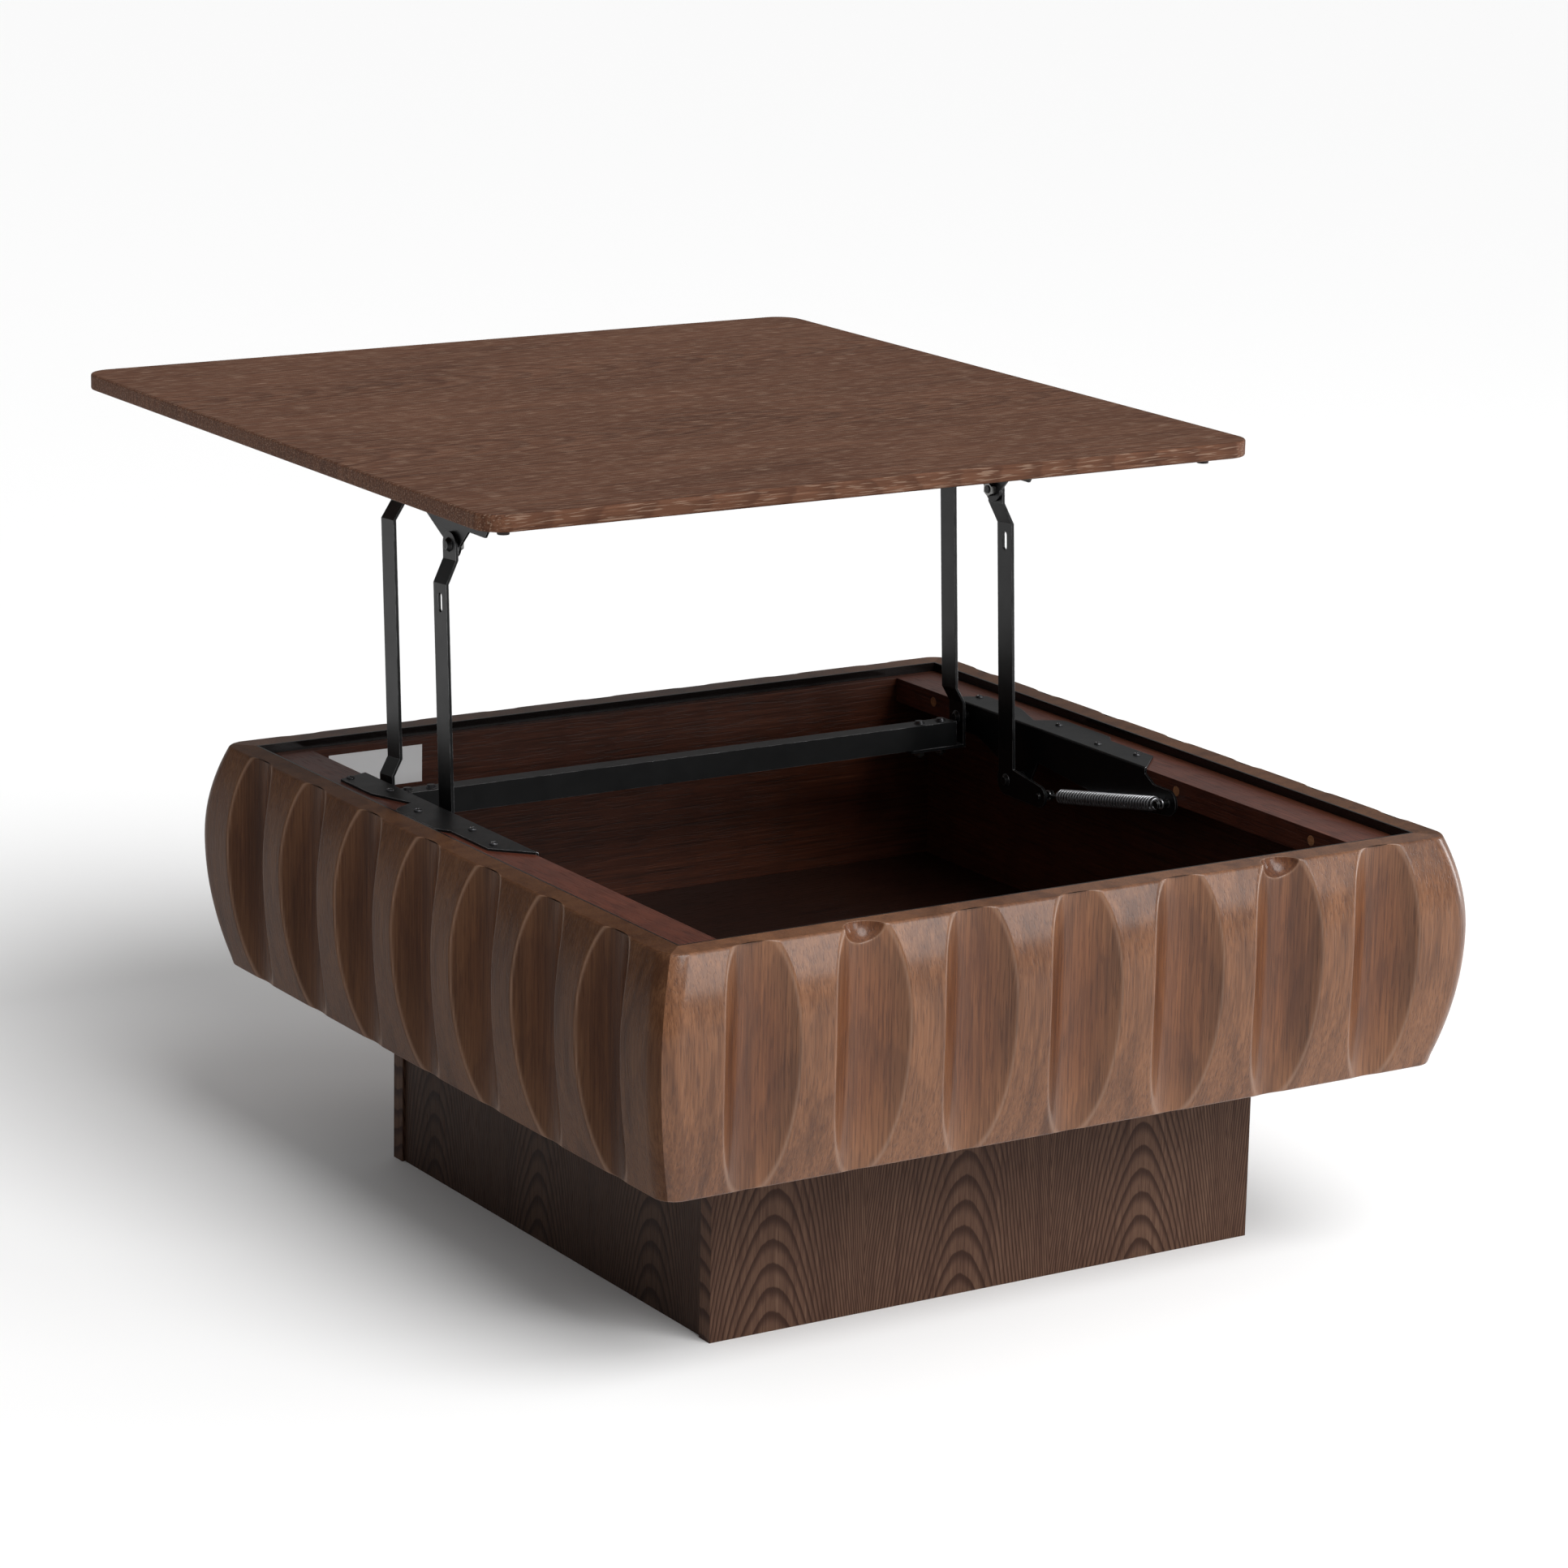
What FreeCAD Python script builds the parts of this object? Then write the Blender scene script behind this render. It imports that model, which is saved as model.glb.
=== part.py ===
import FreeCAD, Part
import math
import os
import re
import Sketcher

# Lift top coffee table: a square box of carved wood on a plinth, whose top rises and moves
# sideways on two pairs of parallel arms, each pair helped by a tension spring.
# It stands with its top raised. The top travels towards -Y as it comes down. +Z is up.
# Origin: on the floor, in the middle of the area that the raised table covers. The pieces are
# drawn about the plinth's centre, and keep() moves each finished one back to that origin.

doc = FreeCAD.newDocument("lift_top_coffee_table")

# ---------------------------------------------------------------- driving dimensions, mm and degrees
DRIVING = {
    # wooden box
    "rim_x": 850.0, "rim_y": 850.0, "base_x": 600.0, "base_y": 600.0,
    "base_height": 187.0, "box_height": 222.0, "wall": 25.0,
    "bulge": 25.0, "bottom_inset": 3.0, "bulge_share": 0.59, "corner_round": 22.0,
    "flute_pitch": 113.0, "flute_width": 77.0, "flute_depth": 24.0, "flute_margin": 30.0,
    "scoop_radius": 21.0, "scoop_offset": 3.0, "scoop_flute": 2.0,
    "base_board": 18.0, "base_setback": 3.0, "block_side": 28.0, "cleat_side": 25.0,
    "block_gap": 5.0, "floor_thick": 18.0, "liner_thick": 12.0, "recess_depth": 9.0, "strip_thick": 2.0,
    "rail_width": 44.0, "rail_thick": 25.0,
    "plug_radius": 5.0, "plug_depth": 8.0, "plug_inset": 70.0, "plug_drop": 11.0,
    "label_x": 104.0, "label_z": 38.0, "label_thick": 0.3, "label_inset": 61.3, "label_drop": 7.0,
    # top
    "top_thick": 16.0, "top_round": 28.0, "top_edge": 2.0, "close_gap": 0.4,
    "bumper_radius": 7.0, "bumper_gap": 0.2, "bumper_inset": 37.0,
    # lift linkage
    "arm_length": 300.0, "arm_lean": 3.5, "arm_swing": 94.4, "arm_width": 25.0, "arm_thick": 3.0,
    "pivot_y": 150.0, "pivot_drop": 64.0, "rear_y": 105.0, "rear_rise": 43.0,
    "arm_gap": 17.5, "top_joggle": 11.0, "low_joggle": 9.0,
    "front_bend": 36.0, "front_bend_rise": 22.0, "rear_bend": 36.0, "rear_bend_rise": 16.0,
    "slot_drop": 54.0, "slot_length": 19.0, "slot_width": 7.5,
    "foot_bend": 16.0, "foot_bend_rise": 16.0, "tab_round": 4.0,
    "sheet_thick": 2.5, "stud_radius": 4.0, "shoulder_radius": 7.0, "head_thick": 3.0,
    "running_fit": 0.05, "open_pivot_fit": 0.3, "side_gap": 0.2, "rivet_step": 1.0, "collar": 1.0,
    "lever_length": 58.0, "lever_dip": 4.0, "lever_round": 11.0, "lever_root": 15.0,
    "anchor_y": -96.0, "anchor_drop": 34.0, "hook_pin_radius": 3.0, "pin_reach": 4.0, "pin_head": 2.0,
    "coil_radius": 7.75, "wire_radius": 1.1, "loop_gap": 0.3,
    "tube_side": 25.0, "tube_wall": 1.5, "tube_drop": 2.0, "tube_end_gap": 8.0, "tab_length": 67.0,
    # brackets on the wooden rails, measured from the front pivot
    "bracket_front": 207.0, "bracket_back": 129.0, "bracket_nose": 33.0,
    "flange_narrow": 32.0, "flange_wide": 41.0, "flange_waist": 14.0,
    "wide_front": 88.0, "wide_back": 12.0, "wide_slope": 15.0, "waist_back": 55.0,
    "plate_end": 4.0, "anchor_round": 13.0, "anchor_slope": 24.0, "belly_y": 80.0, "belly_z": 22.0,
    "pivot_round": 16.0, "pivot_neck": 14.0, "rear_neck": 22.0, "rear_edge": 17.0,
    # angle rails under the top, measured from their front pivots
    "rail_front": 70.0, "rail_back": 260.0, "rail_web": 20.0, "rail_flange": 37.0,
    "rail_nose": 28.0, "rail_step": 17.0, "ear_round": 13.0, "ear_slope": 30.0, "flange_cut": 20.0,
    # fasteners
    "screw_radius": 1.75, "screw_head": 4.0, "screw_head_thick": 2.2, "screw_length": 15.0,
    "screw_share": 0.7, "bolt_radius": 3.0, "bolt_inset": 12.0, "bolt_pitch": 26.0,
    "bolt_head": 3.0, "bolt_tail": 7.0, "tube_nut": 5.0, "top_nut": 6.0, "top_bolt_head": 4.0,
}

sizes = doc.addObject("Spreadsheet::Sheet", "Sizes")


def store(values, column):
    """Writes each value as plain text into its own cell, with its name beside it and as its alias."""
    for row, (name, number) in enumerate(values.items(), start=1):
        sizes.set("%s%d" % (column[0], row), name)
        sizes.set("%s%d" % (column[1], row), repr(float(number)))
        sizes.setAlias("%s%d" % (column[1], row), name)


store(DRIVING, "AB")

# ---------------------------------------------------------------- sizes that follow from the driving ones
V = dict(DRIVING)
lean = math.radians(V["arm_lean"])
closed = math.radians(V["arm_lean"] - V["arm_swing"])
V["rim_z"] = V["base_height"] + V["box_height"]
V["ledge_z"] = V["rim_z"] - V["recess_depth"]
V["half_x"] = V["rim_x"] / 2
V["half_y"] = V["rim_y"] / 2
V["inner_x"] = V["half_x"] - V["wall"]
V["inner_y"] = V["half_y"] - V["wall"]
V["well_x"] = V["inner_x"] - V["liner_thick"]
V["well_y"] = V["inner_y"] - V["liner_thick"]
V["bulge_z"] = V["base_height"] + V["box_height"] * V["bulge_share"]
V["flute_radius"] = ((V["flute_width"] / 2) ** 2 + V["flute_depth"] ** 2) / (2 * V["flute_depth"])
V["rail_x"] = V["well_x"] - V["rail_width"]
V["plate_x"] = V["rail_x"] - V["sheet_thick"]
V["arm_x"] = V["plate_x"] - V["arm_gap"] - V["arm_thick"]
V["arm_top_x"] = V["arm_x"] - V["top_joggle"]
V["arm_low_x"] = V["arm_x"] + V["low_joggle"]
V["spring_x"] = V["plate_x"] - V["arm_gap"] / 2
V["ear_x"] = V["arm_top_x"] - V["collar"] - V["sheet_thick"]
V["pivot_z"] = V["rim_z"] - V["pivot_drop"]
V["rear_pivot_y"] = V["pivot_y"] + V["rear_y"]
V["rear_pivot_z"] = V["pivot_z"] + V["rear_rise"]
V["reach_y"] = V["arm_length"] * math.sin(lean)
V["reach_z"] = V["arm_length"] * math.cos(lean)
V["travel_y"] = V["arm_length"] * (math.sin(lean) - math.sin(closed))
V["travel_z"] = V["arm_length"] * (math.cos(lean) - math.cos(closed))
V["top_under"] = V["rim_z"] + V["close_gap"] + V["travel_z"]
V["lever_y"] = V["pivot_y"] - V["lever_length"] * math.cos(math.radians(V["lever_dip"]))
V["lever_z"] = V["pivot_z"] - V["lever_length"] * math.sin(math.radians(V["lever_dip"]))
V["anchor_z"] = V["rim_z"] - V["anchor_drop"]
V["spring_length"] = math.hypot(V["lever_y"] - V["anchor_y"], V["lever_z"] - V["anchor_z"])
V["spring_tilt"] = math.degrees(math.atan2(V["lever_z"] - V["anchor_z"], V["lever_y"] - V["anchor_y"]))
V["loop_radius"] = V["hook_pin_radius"] + V["wire_radius"] + V["loop_gap"]
V["shank"] = 2.5 * V["coil_radius"]
V["middle_y"] = (V["travel_y"] - V["bulge"]) / 2
store({name: number for name, number in V.items() if name not in DRIVING}, "CD")
doc.recompute()


# ---------------------------------------------------------------- tools
def words(text):
    """Puts the sheet's name before each size named in an expression."""
    return re.sub(r"[a-z_]+", lambda m: "Sizes." + m.group(0) if m.group(0) in V else m.group(0), str(text))


def bind(thing, place, text):
    """Ties a property to an expression of the sheet's sizes."""
    thing.setExpression(place, words(text))


def number(text):
    """The value of an expression of the sheet's sizes."""
    return float(sizes.evalExpression(words(text)))


def placed(thing, x=0, y=0, z=0):
    """Moves a piece to a point given as three expressions."""
    for axis, text in zip("xyz", (x, y, z)):
        bind(thing, "Placement.Base." + axis, text)
    return thing


def box(name, x, y, z, dx, dy, dz):
    """Upright block from its lowest corner and its three sides."""
    block = doc.addObject("Part::Box", name)
    for side, text in zip(("Length", "Width", "Height"), (dx, dy, dz)):
        bind(block, side, text)
    return placed(block, x, y, z)


AXES = {"x": (0, 1, 0, 90), "y": (1, 0, 0, -90), "z": (0, 0, 1, 0)}


def turned(thing, axis):
    """Lays a round primitive, made along Z, along an axis."""
    ax, ay, az, angle = AXES[axis]
    thing.Placement.Rotation = FreeCAD.Rotation(FreeCAD.Vector(ax, ay, az), angle)
    return thing


def rod(name, axis, x, y, z, radius, length):
    """Cylinder from a point, along a positive axis."""
    solid = turned(doc.addObject("Part::Cylinder", name), axis)
    bind(solid, "Radius", radius)
    bind(solid, "Height", length)
    return placed(solid, x, y, z)


def dome(name, axis, x, y, z, low, high, length):
    """Cone frustum from a point along a positive axis, for heads and studs."""
    solid = turned(doc.addObject("Part::Cone", name), axis)
    bind(solid, "Radius1", low)
    bind(solid, "Radius2", high)
    bind(solid, "Height", length)
    return placed(solid, x, y, z)


def fused(name, parts):
    solid = doc.addObject("Part::MultiFuse", name)
    solid.Shapes = parts
    return solid


def cut(name, base, tool):
    solid = doc.addObject("Part::Cut", name)
    solid.Base = base
    solid.Tool = tool
    return solid


def group(name, parts):
    """Several separate solids that share a node."""
    solid = doc.addObject("Part::Compound", name)
    solid.Links = parts
    return solid


def mirrored(name, source):
    """The left-hand twin of a right-hand piece."""
    twin = doc.addObject("Part::Mirroring", name)
    twin.Source = source
    twin.Normal = FreeCAD.Vector(1, 0, 0)
    return twin


def body(name):
    return doc.addObject("PartDesign::Body", name)


def sketch_on(holder, name, plane, offset):
    """Empty sketch on one of the body's own planes, moved along the plane's normal."""
    sketch = holder.newObject("Sketcher::SketchObject", name)
    origin_plane = [f for f in holder.Origin.OriginFeatures if f.Role == plane + "_Plane"][0]
    sketch.AttachmentSupport = [(origin_plane, "")]
    sketch.MapMode = "FlatFace"
    bind(sketch, "AttachmentOffset.Base.z", offset)
    return sketch


def measure(sketch, kind, item, text, point=1):
    """Dimension of a sketch item, tied to the sheet."""
    if kind in ("DistanceX", "DistanceY"):
        rule = Sketcher.Constraint(kind, -1, 1, item, point, number(text))
    else:
        rule = Sketcher.Constraint(kind, item, number(text))
    index = sketch.addConstraint(rule)
    sketch.setExpression("Constraints[%d]" % index, words(text))


def outline(holder, name, plane, offset, corners):
    """Closed outline of straight lines, each corner a pair of expressions."""
    sketch = sketch_on(holder, name, plane, offset)
    spots = [FreeCAD.Vector(number(a), number(b), 0) for a, b in corners]
    count = len(spots)
    for i in range(count):
        sketch.addGeometry(Part.LineSegment(spots[i], spots[(i + 1) % count]), False)
    for i, (a, b) in enumerate(corners):
        sketch.addConstraint(Sketcher.Constraint("Coincident", i, 2, (i + 1) % count, 1))
        measure(sketch, "DistanceX", i, a)
        measure(sketch, "DistanceY", i, b)
    return sketch


def circles(holder, name, plane, offset, rounds):
    """Sketch of circles, each given as two centre expressions and a radius."""
    sketch = sketch_on(holder, name, plane, offset)
    for i, (a, b, radius) in enumerate(rounds):
        spot = FreeCAD.Vector(number(a), number(b), 0)
        sketch.addGeometry(Part.Circle(spot, FreeCAD.Vector(0, 0, 1), number(radius)), False)
        measure(sketch, "DistanceX", i, a, 3)
        measure(sketch, "DistanceY", i, b, 3)
        measure(sketch, "Radius", i, radius)
    return sketch


def rounded(holder, name, offset, half_a, half_b, radius):
    """Rectangle about the origin with four rounded corners, on the XY plane."""
    sketch = sketch_on(holder, name, "XY", offset)
    a, b, r = number(half_a), number(half_b), number(radius)
    spin = FreeCAD.Vector(0, 0, 1)
    ends = [((-a + r, b), (a - r, b)), ((a, b - r), (a, -b + r)),
            ((a - r, -b), (-a + r, -b)), ((-a, -b + r), (-a, b - r))]
    centres = [(a - r, b - r, 0), (a - r, -b + r, 270), (-a + r, -b + r, 180), (-a + r, b - r, 90)]
    for start, end in ends:
        line = Part.LineSegment(FreeCAD.Vector(*start, 0), FreeCAD.Vector(*end, 0))
        sketch.addGeometry(line, False)
    for cx, cy, first in centres:
        circle = Part.Circle(FreeCAD.Vector(cx, cy, 0), spin, r)
        arc = Part.ArcOfCircle(circle, math.radians(first), math.radians(first + 90))
        sketch.addGeometry(arc, False)
    for i in range(4):
        sketch.addConstraint(Sketcher.Constraint("Tangent", i, 2, 4 + i, 2))
        sketch.addConstraint(Sketcher.Constraint("Tangent", 4 + i, 1, (i + 1) % 4, 1))
        measure(sketch, "Radius", 4 + i, radius)
    measure(sketch, "DistanceY", 0, half_b)
    measure(sketch, "DistanceX", 1, half_a)
    measure(sketch, "DistanceY", 2, "-(%s)" % half_b)
    measure(sketch, "DistanceX", 3, "-(%s)" % half_a)
    return sketch


def slot(holder, name, offset, centre, length, width):
    """Upright slot with round ends on the YZ plane, centred on the arm's middle line."""
    sketch = sketch_on(holder, name, "YZ", offset)
    low = "(%s) - (%s) / 2 + (%s) / 2" % (centre, length, width)
    high = "(%s) + (%s) / 2 - (%s) / 2" % (centre, length, width)
    r, z0, z1 = number(width) / 2, number(low), number(high)
    spin = FreeCAD.Vector(0, 0, 1)
    for start, end in (((-r, z0), (-r, z1)), ((r, z1), (r, z0))):
        line = Part.LineSegment(FreeCAD.Vector(*start, 0), FreeCAD.Vector(*end, 0))
        sketch.addGeometry(line, False)
    for z, first in ((z1, 0), (z0, math.pi)):
        circle = Part.Circle(FreeCAD.Vector(0, z, 0), spin, r)
        sketch.addGeometry(Part.ArcOfCircle(circle, first, first + math.pi), False)
    for line, point, arc, end in ((0, 2, 2, 2), (1, 1, 2, 1), (1, 2, 3, 2), (0, 1, 3, 1)):
        sketch.addConstraint(Sketcher.Constraint("Tangent", line, point, arc, end))
    measure(sketch, "DistanceX", 2, 0, 3)
    measure(sketch, "DistanceY", 2, high, 3)
    measure(sketch, "DistanceY", 3, low, 3)
    measure(sketch, "Radius", 2, "(%s) / 2" % width)
    return sketch


def pad(holder, sketch, length):
    """Thickens a sketch along its plane's normal."""
    solid = holder.newObject("PartDesign::Pad", sketch.Name + "_pad")
    solid.Profile = sketch
    bind(solid, "Length", length)
    doc.recompute()
    return solid


def pocket(holder, sketch, length, along=False):
    """Cuts a sketch into the body, against its plane's normal unless told otherwise."""
    before = holder.Shape.Volume
    solid = holder.newObject("PartDesign::Pocket", sketch.Name + "_pocket")
    solid.Profile = sketch
    solid.Reversed = along
    bind(solid, "Length", length)
    doc.recompute()
    if holder.Shape.Volume >= before:
        raise RuntimeError(solid.Name + " cuts nothing")
    return solid


def fillet(holder, wanted, radius, name):
    """Rounds the edges of the body that a test picks."""
    base = holder.Tip
    picked = ["Edge%d" % (i + 1) for i, edge in enumerate(base.Shape.Edges) if wanted(edge)]
    rounding = holder.newObject("PartDesign::Fillet", name)
    rounding.Base = (base, picked)
    bind(rounding, "Radius", radius)
    doc.recompute()
    return rounding


def middle(edge):
    return edge.valueAt((edge.FirstParameter + edge.LastParameter) / 2)


def straight(edge, axis):
    """True for a straight edge along an axis."""
    if edge.Curve.TypeId != "Part::GeomLine":
        return False
    return abs(abs(getattr(edge.Curve.Direction, axis)) - 1) < 1e-6


def near(a, b):
    return abs(a - b) < 1e-3


nodes = {}


def keep(name, thing):
    """Finished sub-part: the drawn piece, named, and moved to the model's origin."""
    piece = doc.addObject("Part::Compound", name + "_part")
    piece.Links = [thing]
    piece.Label = name
    bind(piece, "Placement.Base.y", "-middle_y")
    nodes[name] = piece


# ---------------------------------------------------------------- plinth
def base_panels():
    """Front and back boards over the full width, side boards between them and set back a little."""
    inner = "base_y / 2 - base_board"
    for name, y in (("front", "-base_y / 2"), ("back", inner)):
        board = box("BaseBoard", "-base_x / 2", y, 0, "base_x", "base_board", "base_height")
        keep("base_%s_panel" % name, board)
    side = box("BaseRight", "base_x / 2 - base_setback - base_board", "-(%s)" % inner, 0,
               "base_board", "2 * (%s)" % inner, "base_height")
    keep("base_right_panel", side)
    keep("base_left_panel", mirrored("BaseLeft", side))


def base_inside():
    """Glue blocks in the plinth's corners, and cleats along its top that the box is screwed to."""
    in_x = "(base_x / 2 - base_setback - base_board)"
    in_y = "(base_y / 2 - base_board)"
    blocks = []
    cleats = []
    screws = []
    low = "base_height - cleat_side"
    for sx in (-1, 1):
        for sy in (-1, 1):
            x = "%s - block_side" % in_x if sx > 0 else "-" + in_x
            y = "%s - block_side" % in_y if sy > 0 else "-" + in_y
            blocks.append(box("Block", x, y, 0, "block_side", "block_side",
                              "base_height - cleat_side - block_gap"))
    for s in (-1, 1):
        y = "%s - cleat_side" % in_y if s > 0 else "-" + in_y
        x = "%s - cleat_side" % in_x if s > 0 else "-" + in_x
        cleats.append(box("CleatLong", "-" + in_x, y, low, "2 * " + in_x, "cleat_side", "cleat_side"))
        cleats.append(box("CleatShort", x, "-%s + cleat_side" % in_y, low,
                          "cleat_side", "2 * %s - 2 * cleat_side" % in_y, "cleat_side"))
        for t in (-1, 1):
            screws.append(upward_screw("%d * base_x / 4" % t, "%s + cleat_side / 2" % y, low))
            screws.append(upward_screw("%s + cleat_side / 2" % x, "%d * base_y / 4" % t, low))
    keep("base_corner_blocks", group("BaseBlocks", blocks))
    screws = group("CleatScrews", screws)
    keep("base_cleats", cut("BaseCleats", group("BaseCleatBlanks", cleats), screws))
    keep("base_cleat_screws", screws)
    return screws


def upward_screw(x, y, z):
    """Cleat screw driven up from the cleat's underside into the box floor."""
    head = dome("CleatHead", "z", x, y, "%s - screw_head_thick" % z,
                "screw_head * 0.6", "screw_head", "screw_head_thick")
    shank = rod("CleatShank", "z", x, y, z, "screw_radius", "cleat_side + floor_thick * screw_share")
    return fused("CleatScrew", [head, shank])


# ---------------------------------------------------------------- carved box
def flute_places(half):
    """Middles of the flutes that fit on a wall, spread both ways from the wall's centre."""
    room = V[half] - V["flute_margin"] - V["flute_width"] / 2
    count = int(room // V["flute_pitch"])
    return ["%d * flute_pitch" % k for k in range(-count, count + 1)]


def carved_ring():
    """Hollow ring of the four carved walls: a bulging loft, hollowed, fluted and scooped."""
    ring = body("CarvedRing")
    low = "(bulge + bottom_inset)"
    levels = (("base_height", "bulge - " + low),
              ("base_height + (bulge_z - base_height) / 2", "bulge - %s / 4" % low),
              ("bulge_z", "bulge"),
              ("bulge_z + (rim_z - bulge_z) / 2", "bulge * 3 / 4"),
              ("rim_z", "0"))
    sections = [rounded(ring, "RingLevel%d" % i, z, "half_x + " + out, "half_y + " + out, "corner_round")
                for i, (z, out) in enumerate(levels)]
    loft = ring.newObject("PartDesign::AdditiveLoft", "RingLoft")
    loft.Profile = sections[0]
    loft.Sections = sections[1:]
    doc.recompute()
    hollow = outline(ring, "RingHollow", "XY", "rim_z", [
        ("-inner_x", "-inner_y"), ("inner_x", "-inner_y"), ("inner_x", "inner_y"), ("-inner_x", "inner_y")])
    pocket(ring, hollow, "box_height")
    spots = []
    away = "+ bulge - flute_depth + flute_radius"
    for side in (-1, 1):
        for along in flute_places("half_x"):
            spots.append((along, "%d * (half_y %s)" % (side, away), "flute_radius"))
        for along in flute_places("half_y"):
            spots.append(("%d * (half_x %s)" % (side, away), along, "flute_radius"))
    pocket(ring, circles(ring, "Flutes", "XY", "rim_z", spots), "box_height")
    return ring


def scoops():
    """Finger scoops in the front rim's outer edge, over the second flute from each end."""
    balls = []
    for sx in (-1, 1):
        ball = doc.addObject("Part::Sphere", "Scoop")
        bind(ball, "Radius", "scoop_radius")
        balls.append(placed(ball, "%d * scoop_flute * flute_pitch" % sx,
                            "-(half_y + scoop_offset)", "rim_z + scoop_offset"))
    return group("Scoops", balls)


def carved_panels():
    """The ring cut at its mitred corners into four boards."""
    ring = cut("ScoopedRing", carved_ring(), scoops())
    out = "(wall + 2 * bulge)"
    corners_of = {}
    for sx, sy in ((-1, -1), (1, -1), (1, 1), (-1, 1)):
        near_end = ("%d * inner_x" % sx, "%d * inner_y" % sy)
        far_end = ("%d * (inner_x + %s)" % (sx, out), "%d * (inner_y + %s)" % (sy, out))
        corners_of[sx, sy] = (near_end, far_end)
    ends_of = {"front": ((-1, -1), (1, -1)), "right": ((1, -1), (1, 1)),
               "back": ((1, 1), (-1, 1)), "left": ((-1, 1), (-1, -1))}
    for side, (first, last) in ends_of.items():
        name = "carved_%s_panel" % side
        corners = (*corners_of[first], *reversed(corners_of[last]))
        wedge = body(name + "_wedge")
        pad(wedge, outline(wedge, name + "_mitres", "XY", "base_height", corners), "box_height")
        piece = doc.addObject("Part::Common", name + "_solid")
        piece.Base = ring
        piece.Tool = wedge
        keep(name, piece)


def box_inside(cleat_screws):
    """Floor, liner boards, black recess strips and the blank label."""
    floor = box("Floor", "-inner_x", "-inner_y", "base_height",
                "2 * inner_x", "2 * inner_y", "floor_thick")
    keep("box_floor_panel", cut("FloorBored", floor, cleat_screws))
    z0 = "base_height + floor_thick"
    tall = "ledge_z - (%s)" % z0
    keep("liner_back", box("LinerBack", "-inner_x", "well_y", z0, "2 * inner_x", "liner_thick", tall))
    keep("liner_front", box("LinerFront", "-inner_x", "-inner_y", z0, "2 * inner_x", "liner_thick", tall))
    right = box("LinerRight", "well_x", "-well_y", z0, "liner_thick", "2 * well_y", tall)
    strips = []
    for s in (-1, 1):
        y = "inner_y - strip_thick" if s > 0 else "-inner_y"
        x = "inner_x - strip_thick" if s > 0 else "-inner_x"
        strips.append(box("StripLong", "-inner_x", y, "ledge_z",
                          "2 * inner_x", "strip_thick", "recess_depth"))
        strips.append(box("StripShort", x, "-inner_y + strip_thick", "ledge_z",
                          "strip_thick", "2 * (inner_y - strip_thick)", "recess_depth"))
    keep("recess_strips", group("RecessStrips", strips))
    label = box("Label", "-well_x + label_inset", "well_y - label_thick",
                "ledge_z - label_drop - label_z", "label_x", "label_thick", "label_z")
    keep("blank_label", label)
    return right


def rails(side_liner, bracket_screws):
    """Wooden rails that carry the lift brackets, fixed to the side liners by plugged screws."""
    blank = box("RailBlank", "rail_x", "-well_y", "ledge_z - rail_thick",
                "rail_width", "2 * well_y", "rail_thick")
    plugs = []
    for share in ("-1", "-1 / 3", "1 / 3", "1"):
        y = "%s * (well_y - plug_inset)" % share
        plugs.append(rod("Plug", "x", "rail_x", y, "ledge_z - plug_drop", "plug_radius", "plug_depth"))
    plugs = group("PlugsRight", plugs)
    rail = cut("RailRight", cut("RailScrewed", blank, bracket_screws), plugs)
    keep("rail_right", rail)
    keep("rail_left", mirrored("RailLeft", rail))
    keep("rail_plugs_right", plugs)
    keep("rail_plugs_left", mirrored("PlugsLeft", plugs))
    keep("liner_right", side_liner)
    keep("liner_left", mirrored("LinerLeft", side_liner))


# ---------------------------------------------------------------- lift mechanism, fixed side
SCREW_SPOTS = ((22, 116), (11, 56), (24, -24), (12, -108), (20, -163))


def bracket_screws():
    """Pan head screws that hold a bracket's flange to its rail, each so far across and along it."""
    screws = []
    top_face = "ledge_z + sheet_thick"
    for across, along in SCREW_SPOTS:
        x, y = "rail_x + %d" % across, "pivot_y + %d" % along
        head = dome("BracketHead", "z", x, y, top_face,
                    "screw_head", "screw_head * 0.55", "screw_head_thick")
        shank = rod("BracketShank", "z", x, y, top_face + " - screw_length", "screw_radius", "screw_length")
        screws.append(fused("BracketScrew", [head, shank]))
    return group("ScrewsRight", screws)


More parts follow.
